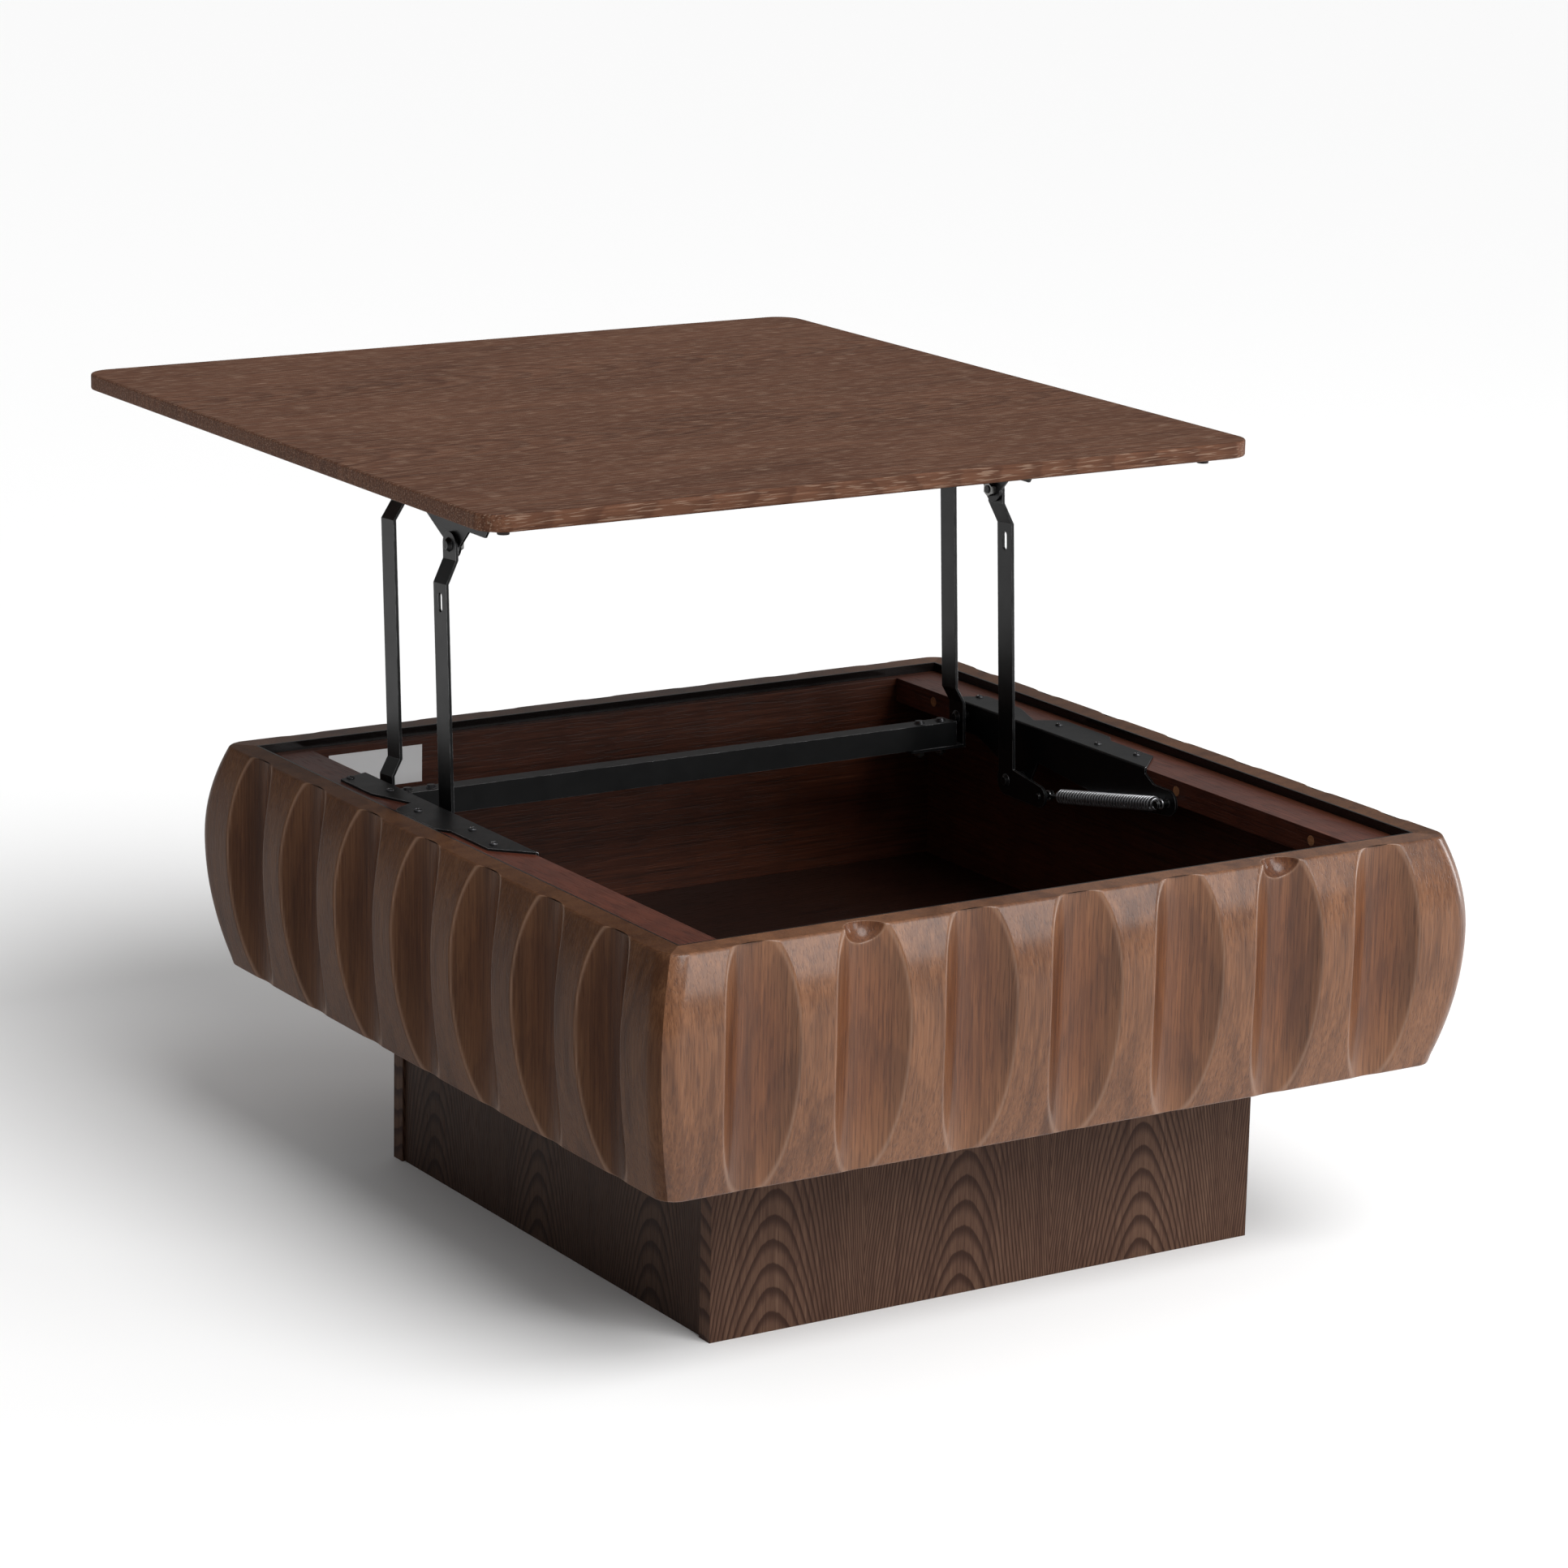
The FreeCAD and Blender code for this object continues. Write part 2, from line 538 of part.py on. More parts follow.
def bracket(screws, studs):
    """Folded sheet bracket: a flange on the rail and a plate down its inner face."""
    piece = body("Bracket")
    plate_top = "ledge_z + sheet_thick"
    front, back = "pivot_y - bracket_front", "pivot_y + bracket_back"
    outboard, wide = "rail_x + flange_narrow", "rail_x + flange_wide"
    flange = outline(piece, "Flange", "XY", "ledge_z", [
        ("plate_x", front), ("rail_x", front), (outboard, front + " + bracket_nose"),
        (outboard, "pivot_y - wide_front - wide_slope"), (wide, "pivot_y - wide_front"),
        (wide, "pivot_y - wide_back"), (wide + " - 5", "pivot_y - wide_back / 2"),
        ("rail_x + flange_waist", "pivot_y + wide_back / 2"), (outboard, "pivot_y + waist_back"),
        (outboard, back + " - wide_back"), ("rail_x", back), ("plate_x", back)])
    pad(piece, flange, "sheet_thick")
    plate = outline(piece, "Plate", "YZ", "plate_x", [
        (front, plate_top), (front, "ledge_z - plate_end"),
        ("anchor_y + anchor_slope", "anchor_z + anchor_round"), ("anchor_y", "anchor_z + anchor_round"),
        ("anchor_y", "anchor_z - anchor_round"), ("anchor_y + belly_y", "anchor_z - belly_z"),
        ("pivot_y - pivot_neck - 12", "pivot_z + belly_z"), ("pivot_y - pivot_neck", "pivot_z"),
        ("pivot_y + pivot_neck", "pivot_z"), ("rear_pivot_y - rear_neck", "rear_pivot_z - rear_edge"),
        (back, "rear_pivot_z - rear_edge"), (back, plate_top)])
    pad(piece, plate, "sheet_thick")
    lobes = circles(piece, "Lobes", "YZ", "plate_x", [
        ("anchor_y", "anchor_z", "anchor_round"), ("pivot_y", "pivot_z", "pivot_round")])
    pad(piece, lobes, "sheet_thick")
    fillet(piece, lambda e: straight(e, "y") and near(middle(e).x, V["plate_x"])
           and near(middle(e).z, V["ledge_z"] + V["sheet_thick"]), "sheet_thick * 0.8", "Fold")
    return cut("BracketBored", cut("BracketDrilled", piece, screws), studs)


def stud(name, y, z, arm_face):
    """Shouldered pivot stud riveted into the bracket plate: shoulder, journal and head."""
    root = rod(name + "Root", "x", "plate_x", y, z, "stud_radius + rivet_step", "sheet_thick")
    step = "(%s + arm_thick + side_gap)" % arm_face
    shoulder = rod(name + "Shoulder", "x", step, y, z, "shoulder_radius", "plate_x - " + step)
    core = rod(name + "Journal", "x", "%s - side_gap" % arm_face, y, z,
               "stud_radius", "arm_thick + 2 * side_gap")
    head = dome(name + "Head", "x", "%s - side_gap - head_thick" % arm_face, y, z,
                "shoulder_radius * 0.6", "shoulder_radius", "head_thick")
    return fused(name, [root, shoulder, core, head])


def anchor_pin():
    """Pin in the bracket plate that the fixed end of the spring hangs on."""
    y, z, end = "anchor_y", "anchor_z", "(spring_x - pin_reach)"
    root = rod("AnchorRoot", "x", "plate_x", y, z, "hook_pin_radius + rivet_step", "sheet_thick")
    core = rod("AnchorCore", "x", end, y, z, "hook_pin_radius", "plate_x - " + end)
    head = dome("AnchorHead", "x", end + " - pin_head", y, z,
                "hook_pin_radius + rivet_step", "hook_pin_radius + pin_head", "pin_head")
    return fused("AnchorPin", [root, core, head])


def fixed_side():
    """Bracket, its screws, the two pivot studs and the spring's anchor pin, on both sides."""
    screws = bracket_screws()
    front = stud("FrontStud", "pivot_y", "pivot_z", "arm_x")
    rear = stud("RearStud", "rear_pivot_y", "rear_pivot_z", "arm_low_x")
    pin = anchor_pin()
    studs = group("StudsRight", [front, rear])
    piece = bracket(screws, group("RivetedRight", [front, rear, pin]))
    kept = {"bracket": piece, "bracket_screws": screws, "pivot_studs": studs, "anchor_pin": pin}
    for name, thing in kept.items():
        keep(name + "_right", thing)
        keep(name + "_left", mirrored(name + "_mirror", thing))
    return screws


# ---------------------------------------------------------------- lift mechanism, arms
def arm_frame(thing, pivot_y, pivot_z):
    """Stands a piece drawn with its arm upright on its pivot, leaning past the vertical."""
    thing.Placement.Rotation = FreeCAD.Rotation(FreeCAD.Vector(1, 0, 0), -V["arm_lean"])
    return placed(thing, 0, pivot_y, pivot_z)


def strip(holder, name, corners):
    """Flat bar bent in its thickness: the bent outline, as wide as the arm."""
    return pad(holder, outline(holder, name, "XZ", "-arm_width / 2", corners), "arm_width")


def round_end(holder, z, name):
    """Rounds the two corners of a bar's end, a hair less than a full half circle."""
    return fillet(holder, lambda e: straight(e, "x") and near(middle(e).z, z)
                  and near(abs(middle(e).y), V["arm_width"] / 2), "arm_width / 2 - 0.1", name)


def front_arm():
    """Bell crank: long bar with a joggle and slot near its top, and a short lever for the spring."""
    arm = body("FrontArm")
    out, top_out = "arm_x + arm_thick", "arm_top_x + arm_thick"
    low, high = "arm_length - front_bend", "arm_length - front_bend + front_bend_rise"
    foot, ends = "-arm_width / 2", "arm_length + arm_width / 2"
    strip(arm, "FrontStrip", [
        (out, foot), (out, low), (top_out, high), (top_out, ends),
        ("arm_top_x", ends), ("arm_top_x", high), ("arm_x", low), ("arm_x", foot)])
    round_end(arm, V["arm_length"] + V["arm_width"] / 2, "FrontTopEnd")
    round_end(arm, -V["arm_width"] / 2, "FrontLowEnd")
    lever = math.radians(180 + V["lever_dip"] + V["arm_lean"])
    along, across = math.cos(lever), math.sin(lever)
    tip = ("%.6f * lever_length" % along, "%.6f * lever_length" % across)
    web = []
    for centre, side, edge in ((("0", "0"), 1, "lever_root"), (tip, 1, "lever_round"),
                               (tip, -1, "lever_round"), (("0", "0"), -1, "lever_root")):
        web.append(("%s - %.6f * %s" % (centre[0], across * side, edge),
                    "%s + %.6f * %s" % (centre[1], along * side, edge)))
    pad(arm, outline(arm, "LeverWeb", "YZ", "arm_x", web), "arm_thick")
    ends_round = [("0", "0", "lever_root"), (*tip, "lever_round")]
    pad(arm, circles(arm, "LeverEnds", "YZ", "arm_x", ends_round), "arm_thick")
    inside, through = "arm_top_x - collar", "arm_thick + top_joggle + 2 * collar"
    holes = circles(arm, "FrontHoles", "YZ", inside, [
        ("0", "0", "stud_radius + running_fit"), ("0", "arm_length", "stud_radius + open_pivot_fit"),
        (*tip, "hook_pin_radius")])
    pocket(arm, holes, through, along=True)
    opening = slot(arm, "FrontSlot", inside, "arm_length - slot_drop", "slot_length", "slot_width")
    pocket(arm, opening, through, along=True)
    return arm_frame(arm, "pivot_y", "pivot_z")


def lever_pin():
    """Pin through the lever's tip that pulls the spring's moving end."""
    y, z, end = "lever_y", "lever_z", "spring_x + pin_reach"
    core = rod("LeverPinCore", "x", "arm_x", y, z, "hook_pin_radius", end + " - arm_x")
    inner = dome("LeverPinHead", "x", "arm_x - pin_head", y, z,
                 "hook_pin_radius", "hook_pin_radius + rivet_step", "pin_head")
    outer = dome("LeverPinEnd", "x", end, y, z,
                 "hook_pin_radius + pin_head", "hook_pin_radius + rivet_step", "pin_head")
    return fused("LeverPin", [core, inner, outer])


def rear_arm():
    """Plain bar joggled in at the top and out at its foot, which folds into a tab under the tube."""
    arm = body("RearArm")
    tab = "-(tube_drop + tube_side)"
    out, top_out, low_out = "arm_x + arm_thick", "arm_top_x + arm_thick", "arm_low_x + arm_thick"
    ends, tab_end = "arm_length + arm_width / 2", "%s - tab_length" % low_out
    low, high = "arm_length - rear_bend", "arm_length - rear_bend + rear_bend_rise"
    foot, shin = "foot_bend", "foot_bend + foot_bend_rise"
    strip(arm, "RearStrip", [
        (low_out, foot), (out, shin), (out, low), (top_out, high), (top_out, ends),
        ("arm_top_x", ends), ("arm_top_x", high), ("arm_x", low), ("arm_x", shin), ("arm_low_x", foot),
        ("arm_low_x", tab), (tab_end, tab), (tab_end, tab + " - arm_thick"),
        (low_out, tab + " - arm_thick")])
    round_end(arm, V["arm_length"] + V["arm_width"] / 2, "RearTopEnd")
    tip = V["arm_low_x"] + V["arm_thick"] - V["tab_length"]
    fillet(arm, lambda e: straight(e, "z") and near(middle(e).x, tip), "tab_round", "TabEnd")
    holes = circles(arm, "RearHoles", "YZ", "arm_top_x - collar", [
        ("0", "0", "stud_radius + running_fit"), ("0", "arm_length", "stud_radius + running_fit")])
    pocket(arm, holes, "arm_thick + top_joggle + low_joggle + 2 * collar", along=True)
    return arm


def nut(name, radius, thick):
    """Hexagon nut standing on its face, bored later by its own bolt."""
    blank = doc.addObject("Part::Prism", name)
    blank.Polygon = 6
    bind(blank, "Circumradius", radius)
    bind(blank, "Height", thick)
    return blank


def tube_bolts():
    """Two bolts at each end that clamp the cross tube to the tabs, and their nuts, arm upright."""
    bolts, nuts = [], []
    under = "-(tube_drop + tube_side + arm_thick)"
    for side in (-1, 1):
        for inset in ("bolt_inset", "(bolt_inset + bolt_pitch)"):
            x = "%d * (arm_low_x - tube_end_gap - %s)" % (side, inset)
            head = dome("TubeBoltHead", "z", x, 0, "-tube_drop",
                        "bolt_radius * 2", "bolt_radius * 1.3", "bolt_head")
            shank = rod("TubeBoltShank", "z", x, 0, under + " - bolt_tail",
                        "bolt_radius", "tube_side + arm_thick + bolt_tail")
            bolts.append(fused("TubeBolt", [head, shank]))
            blank = nut("TubeNut", "bolt_radius * 1.9", "tube_nut")
            nuts.append(placed(blank, x, 0, under + " - tube_nut"))
    bolts = group("TubeBolts", bolts)
    return bolts, cut("TubeNuts", group("TubeNutBlanks", nuts), bolts)


def rear_frame():
    """Both rear arms, tied by the cross tube so that the two sides rise together."""
    bolts, nuts = tube_bolts()
    arm = cut("RearArmBored", rear_arm(), bolts)
    half = "(arm_low_x - tube_end_gap)"
    low, inner = "-tube_drop - tube_side", "tube_side - 2 * tube_wall"
    skin = box("TubeSkin", "-" + half, "-tube_side / 2", low, "2 * " + half, "tube_side", "tube_side")
    bore = box("TubeBore", "-" + half, "-tube_side / 2 + tube_wall", low + " + tube_wall",
               "2 * " + half, inner, inner)
    tube = cut("TubeBored", cut("TubeHollow", skin, bore), bolts)
    for name, thing in (("rear_arm_right", arm), ("cross_tube", tube), ("cross_tube_nuts", nuts)):
        keep(name, arm_frame(thing, "rear_pivot_y", "rear_pivot_z"))
    keep("rear_arm_left", mirrored("RearArmLeft", arm))
    keep("cross_tube_bolts", arm_frame(group("TubeBoltsPlaced", [bolts]), "rear_pivot_y", "rear_pivot_z"))


def arms():
    arm, pin = front_arm(), lever_pin()
    keep("front_arm_right", arm)
    keep("front_arm_left", mirrored("FrontArmLeft", arm))
    keep("lever_pin_right", pin)
    keep("lever_pin_left", mirrored("LeverPinLeft", pin))
    rear_frame()


# ---------------------------------------------------------------- springs
def along_spring(thing):
    """Lays a piece drawn along +Y from the anchor along the spring's line."""
    thing.Placement.Rotation = FreeCAD.Rotation(FreeCAD.Vector(1, 0, 0), V["spring_tilt"])
    return placed(thing, "spring_x", "anchor_y", "anchor_z")


def loop(name, y):
    """Round end loop of the spring, standing across the pin that it hangs on."""
    ring = doc.addObject("Part::Torus", name)
    ring.Placement.Rotation = FreeCAD.Rotation(FreeCAD.Vector(0, 1, 0), 90)
    bind(ring, "Radius1", "loop_radius")
    bind(ring, "Radius2", "wire_radius")
    return placed(ring, 0, y, 0)


def springs():
    """Tension spring: the coil with its anchor loop, and the moving loop with its shank."""
    gap = "coil_radius + 2 * wire_radius"
    long = "spring_length - %s - shank" % gap
    coil = cut("CoilTube", rod("CoilSkin", "y", 0, gap, 0, "coil_radius", long),
               rod("CoilBore", "y", 0, gap, 0, "coil_radius - 2 * wire_radius", long))
    cap = dome("CoilCap", "y", 0, "loop_radius", 0, "wire_radius", "coil_radius", gap + " - loop_radius")
    still = along_spring(fused("SpringRight", [coil, cap, loop("AnchorLoop", 0)]))
    tail = rod("HookTail", "y", 0, "spring_length - shank + loop_gap", 0,
               "wire_radius", "shank - loop_radius - loop_gap")
    moving = along_spring(fused("HookRight", [tail, loop("LeverLoop", "spring_length")]))
    for name, thing in (("spring", still), ("spring_hook", moving)):
        keep(name + "_right", thing)
        keep(name + "_left", mirrored(name + "_mirror", thing))


# ---------------------------------------------------------------- top
def top_bolts():
    """Pivot bolts through the arm tops and the ears of the top rails, and their nuts."""
    bolts, nuts = [], []
    spots = (("pivot_y + reach_y", "pivot_z + reach_z"),
             ("rear_pivot_y + reach_y", "rear_pivot_z + reach_z"))
    arm_face = "arm_top_x + arm_thick + side_gap"
    for y, z in spots:
        head = dome("TopBoltHead", "x", arm_face, y, z,
                    "shoulder_radius", "shoulder_radius * 0.6", "top_bolt_head")
        shank = rod("TopBoltShank", "x", "ear_x - bolt_tail", y, z,
                    "stud_radius", "%s - ear_x + bolt_tail" % arm_face)
        spacer = rod("TopBoltCollar", "x", "ear_x + sheet_thick", y, z,
                     "stud_radius + 2 * rivet_step", "collar - side_gap")
        bolts.append(fused("TopBolt", [head, shank, spacer]))
        blank = turned(nut("TopNut", "stud_radius * 1.85", "top_nut"), "x")
        nuts.append(placed(blank, "ear_x - top_nut", y, z))
    bolts = group("TopBoltsRight", bolts)
    return bolts, cut("TopNutsRight", group("TopNutBlanks", nuts), bolts)


TOP_SCREWS = (-20, 70, 160, 240)


def top_screws():
    """Screws that hold a top rail's flange up against the underside of the top."""
    screws = []
    for along in TOP_SCREWS:
        x, y = "ear_x - rail_flange / 2", "pivot_y + reach_y + %d" % along
        head = dome("TopHead", "z", x, y, "top_under - sheet_thick - screw_head_thick",
                    "screw_head * 0.55", "screw_head", "screw_head_thick")
        shank = rod("TopShank", "z", x, y, "top_under - sheet_thick",
                    "screw_radius", "top_thick * screw_share + sheet_thick")
        screws.append(fused("TopScrew", [head, shank]))
    return group("TopScrewsRight", screws)


def top_rail(bolts, screws):
    """Angle rail under the top, with two ears for the upper pivots."""
    rail = body("TopRail")
    py, pz = "(pivot_y + reach_y)", "(pivot_z + reach_z)"
    qy, qz = "(rear_pivot_y + reach_y)", "(rear_pivot_z + reach_z)"
    front, back, low = py + " - rail_front", py + " + rail_back", "top_under - rail_web"
    web = outline(rail, "Web", "YZ", "ear_x", [
        (front, "top_under"), (front, pz + " + rail_nose"), (front + " + 8", pz + " + rail_step"),
        (py + " - ear_slope", pz + " + rail_step"), (py + " - ear_round", pz), (py + " + ear_round", pz),
        (qy + " - ear_round", qz), (qy + " + ear_round", qz), (qy + " + ear_slope", low),
        (back, low), (back, "top_under")])
    pad(rail, web, "sheet_thick")
    ears = circles(rail, "Ears", "YZ", "ear_x", [(py, pz, "ear_round"), (qy, qz, "ear_round")])
    pad(rail, ears, "sheet_thick")
    inboard, fold = "ear_x - rail_flange", "ear_x + sheet_thick"
    flange = outline(rail, "TopFlange", "XY", "top_under - sheet_thick", [
        (fold, front), (fold, back), (inboard, back), (inboard, front + " + flange_cut"),
        (inboard + " + flange_cut", front)])
    pad(rail, flange, "sheet_thick")
    return cut("TopRailBored", cut("TopRailDrilled", rail, screws), bolts)


def top_panel(screws):
    """Top board with round corners and eased edges, shown at the top of its travel."""
    board = body("TopBoard")
    pad(board, rounded(board, "TopOutline", "top_under", "half_x", "half_y", "top_round"), "top_thick")
    rim = {V["top_under"], V["top_under"] + V["top_thick"]}
    fillet(board, lambda e: any(near(middle(e).z, z) for z in rim), "top_edge", "TopEase")
    bind(board, "Placement.Base.y", "travel_y")
    return cut("TopDrilled", board, screws)


def bumpers():
    """Rubber bumpers under the corners of the top, which come down on the recess ledge."""
    studs = []
    tall = "recess_depth + close_gap - bumper_gap"
    for sx in (-1, 1):
        for sy in (-1, 1):
            studs.append(dome("Bumper", "z", "%d * (half_x - bumper_inset)" % sx,
                              "%d * (half_y - bumper_inset) + travel_y" % sy, "top_under - (%s)" % tall,
                              "bumper_radius * 0.8", "bumper_radius", tall))
    return group("Bumpers", studs)


def top():
    bolts, nuts = top_bolts()
    screws = top_screws()
    both = group("TopScrews", [screws, mirrored("TopScrewsLeft", screws)])
    rail = top_rail(bolts, screws)
    keep("top_panel", top_panel(both))
    keep("top_rail_screws", both)
    keep("top_bumpers", bumpers())
    for name, thing in (("top_rail", rail), ("top_bolts", bolts), ("top_nuts", nuts)):
        keep(name + "_right", thing)
        keep(name + "_left", mirrored(name + "_mirror", thing))


# ---------------------------------------------------------------- build, check and write
base_panels()
side_liner = box_inside(base_inside())
carved_panels()
rails(side_liner, fixed_side())
arms()
springs()
top()
doc.recompute()

failed = [thing.Name for thing in doc.Objects if {"Invalid", "Error"} & set(thing.State)]
bad = [name for name, thing in nodes.items() if thing.Shape.isNull() or not thing.Shape.isValid()]
if failed or bad:
    raise RuntimeError("failed objects %s, bad shapes %s" % (failed, bad))

os.makedirs("parts", exist_ok=True)
for name, thing in nodes.items():
    thing.Shape.exportStep(os.path.join("parts", name + ".step"))
    size = thing.Shape.BoundBox
    print("%-22s %2d solids %10.0f mm3  z %7.1f to %7.1f" % (
        name, len(thing.Shape.Solids), thing.Shape.Volume, size.ZMin, size.ZMax))
print(len(nodes), "sub-parts")
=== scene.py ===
# %% [markdown]
# # A lift top coffee table
# A square box of carved walnut coloured wood stands on a plinth. Its top rides up and back, away
# from the finger scoops, on two pairs of flat steel arms. The CAD model already holds every piece
# at its real size, so this lesson mostly adds what CAD leaves out: carved surfaces with soft
# arrises, wire coils, screw recesses, and finishes worked out from nodes.

# %% Load the frame
import math

import bpy
import mathutils
import numpy as np
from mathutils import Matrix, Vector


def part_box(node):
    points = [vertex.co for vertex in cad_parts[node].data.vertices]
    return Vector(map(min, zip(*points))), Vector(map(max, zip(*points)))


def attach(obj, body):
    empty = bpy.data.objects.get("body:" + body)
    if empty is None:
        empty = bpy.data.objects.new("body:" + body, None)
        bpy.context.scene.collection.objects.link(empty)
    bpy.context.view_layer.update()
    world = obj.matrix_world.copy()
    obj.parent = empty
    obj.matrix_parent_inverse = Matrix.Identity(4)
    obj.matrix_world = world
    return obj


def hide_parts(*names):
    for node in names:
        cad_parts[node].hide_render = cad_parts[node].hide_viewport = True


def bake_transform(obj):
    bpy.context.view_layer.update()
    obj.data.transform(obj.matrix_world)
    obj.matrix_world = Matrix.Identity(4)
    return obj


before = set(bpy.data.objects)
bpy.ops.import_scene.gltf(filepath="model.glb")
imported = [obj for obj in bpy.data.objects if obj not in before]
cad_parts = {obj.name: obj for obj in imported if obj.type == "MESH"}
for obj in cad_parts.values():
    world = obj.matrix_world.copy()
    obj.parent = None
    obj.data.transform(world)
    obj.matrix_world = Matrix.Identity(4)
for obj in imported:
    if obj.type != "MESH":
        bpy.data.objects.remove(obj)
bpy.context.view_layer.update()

# %% [markdown]
# ## Colours and units
# Everything is in metres. A stain is easier to choose as the three numbers that a paint card
# shows, 0 to 255, but a shader wants linear light, so one helper turns the first into the second.

# %% Colour helper
MM = 0.001


def stain(red, green, blue):
    """Linear colour of a paint card colour: each share to the power 2.4, above a straight foot."""
    card = np.array([red, green, blue], float) / 255
    linear = np.where(card <= 0.04045, card / 12.92, ((card + 0.055) / 1.055) ** 2.4)
    return (*[float(c) for c in linear], 1.0)


print("warm brown", [round(c, 3) for c in stain(100, 75, 62)])

# %% [markdown]
# ## The camera
# A long lens from far away keeps the box's sides almost parallel, as in a catalogue view. The
# camera is given by where it stands and by three turns: round the room, down, and a slight roll.

# %% Camera
def aim(camera, place, yaw, down, roll):
    """Turns a camera: right and up span its picture plane, and it looks along minus the third."""
    y, d, r = (math.radians(angle) for angle in (yaw, down, roll))
    right = np.array([math.cos(y), math.sin(y), 0])
    ahead = np.array([-math.sin(y) * math.cos(d), math.cos(y) * math.cos(d), -math.sin(d)])
    up = np.cross(right, ahead)
    level = right * math.cos(r) + up * math.sin(r)
    upright = up * math.cos(r) - right * math.sin(r)
    matrix = np.eye(4)
    matrix[:3, :3] = np.array([level, upright, -ahead]).T
    matrix[:3, 3] = place
    camera.matrix_world = mathutils.Matrix(matrix.tolist())


lens = bpy.data.cameras.new("lens")
lens.lens = 116.36
lens.shift_x = 0.00996
lens.shift_y = -0.0542
camera = bpy.data.objects.new("camera", lens)
bpy.context.scene.collection.objects.link(camera)
aim(camera, (-2.5527, -4.0837, 1.6035), -32.329, 13.288, 1.1276)
bpy.context.scene.camera = camera
print("lens", lens.lens, "mm")

# %% [markdown]
# ## The studio
# Satin wood shows its shape by what it reflects. The key light is a distant lamp as wide as a
# studio softbox, in front and above, so that the front face is lit and the left one stays dark.
# Panels in front and on the right draw highlights down the flutes. The strength of the sky falls
# from a half overhead to an eighth at eye level, which keeps colours deep.

# %% Lights and world
STUDIO = bpy.data.collections.new("studio")
bpy.context.scene.collection.children.link(STUDIO)


def panel(name, place, target, width, height, watts, colour=(1, 1, 1)):
    """Soft rectangular light at a place, turned so that its -Z axis points at the target."""
    light = bpy.data.lights.new(name, "AREA")
    light.shape = "RECTANGLE"
    light.size, light.size_y = width, height
    light.energy = watts
    light.color = colour
    lamp = bpy.data.objects.new(name, light)
    STUDIO.objects.link(lamp)
    back = np.array(place, float) - np.array(target, float)
    back /= np.linalg.norm(back)
    side = np.cross((0, 0, 1), back) if abs(back[2]) < 0.99 else np.array([1.0, 0, 0])
    side /= np.linalg.norm(side)
    matrix = np.eye(4)
    matrix[:3, :3] = np.array([side, np.cross(back, side), back]).T
    matrix[:3, 3] = place
    lamp.matrix_world = mathutils.Matrix(matrix.tolist())
    return lamp


def sun(name, toward, strength, angle):
    """Distant lamp that shines along a direction; a wide angle makes its shadows soft."""
    light = bpy.data.lights.new(name, "SUN")
    light.energy = strength
    light.angle = math.radians(angle)
    lamp = bpy.data.objects.new(name, light)
    STUDIO.objects.link(lamp)
    lamp.rotation_mode = "QUATERNION"
    lamp.rotation_quaternion = mathutils.Vector(toward).to_track_quat("-Z", "Y")
    return lamp


middle = (0, 0, 0.4)
sun("key", (-0.12, 0.62, -0.78), 2.7, 42)
panel("front", (1.9, -3.7, 1.7), middle, 1.4, 1.6, 42)
panel("right_strip", (3.9, -1.2, 1.0), middle, 0.8, 1.8, 55)

world = bpy.data.worlds.new("studio_world")
world.use_nodes = True
sky = world.node_tree
direction = sky.nodes.new("ShaderNodeTexCoord")
parts = sky.nodes.new("ShaderNodeSeparateXYZ")
height = sky.nodes.new("ShaderNodeMapRange")
sky.links.new(direction.outputs["Generated"], parts.inputs[0])
sky.links.new(parts.outputs["Z"], height.inputs["Value"])
for key, value in (("From Min", 0.05), ("From Max", 0.9), ("To Min", 0.12), ("To Max", 0.55)):
    height.inputs[key].default_value = value
sky.links.new(height.outputs[0], sky.nodes["Background"].inputs["Strength"])
sky.nodes["Background"].inputs["Color"].default_value = (1, 1, 1, 1)
bpy.context.scene.world = world
bpy.context.scene.view_settings.view_transform = "Standard"

# %% [markdown]
# ## Small tools for node trees
# A material is a graph. Two short helpers keep the graphs readable: one adds a node with its
# settings and inputs, the other does a sum with a Math node.

# %% Node helpers
def add(tree, kind, inputs=None, **settings):
    """New shader node. Each input is given as a plain value or as another node's output."""
    node = tree.nodes.new("ShaderNode" + kind)
    for key, value in settings.items():
        setattr(node, key, value)
    for key, value in (inputs or {}).items():
        if isinstance(value, bpy.types.NodeSocket):
            tree.links.new(value, node.inputs[key])
        else:
            node.inputs[key].default_value = value
    return node


def calc(tree, operation, a, b=0.0, c=0.0):
    """Math node's result for two or three numbers or outputs."""
    return add(tree, "Math", {0: a, 1: b, 2: c}, operation=operation).outputs[0]


def spread(tree, value, low, high, start=0.0, end=1.0):
    """Maps low..high to start..end, with soft ends, and holds it there."""
    node = add(tree, "MapRange", {"Value": value, "From Min": low, "From Max": high,
                                  "To Min": start, "To Max": end},
               interpolation_type="SMOOTHSTEP")
    return node.outputs["Result"]


def blend(tree, share, a, b):
    """Mixes two colours, share of the way from a to b. In colour mode these are inputs 6 and 7."""
    return add(tree, "Mix", {0: share, 6: a, 7: b}, data_type="RGBA", blend_type="MIX").outputs[2]


def new_group(name, inputs, outputs):
    """Empty shader node group. Inputs are (name, kind, default), outputs are (name, kind)."""
    tree = bpy.data.node_groups.new(name, "ShaderNodeTree")
    for label, kind, value in inputs:
        socket = tree.interface.new_socket(label, in_out="INPUT", socket_type="NodeSocket" + kind)
        if value is not None:
            socket.default_value = value
    for label, kind in outputs:
        tree.interface.new_socket(label, in_out="OUTPUT", socket_type="NodeSocket" + kind)
    return tree, tree.nodes.new("NodeGroupInput"), tree.nodes.new("NodeGroupOutput")


print("helpers ready")

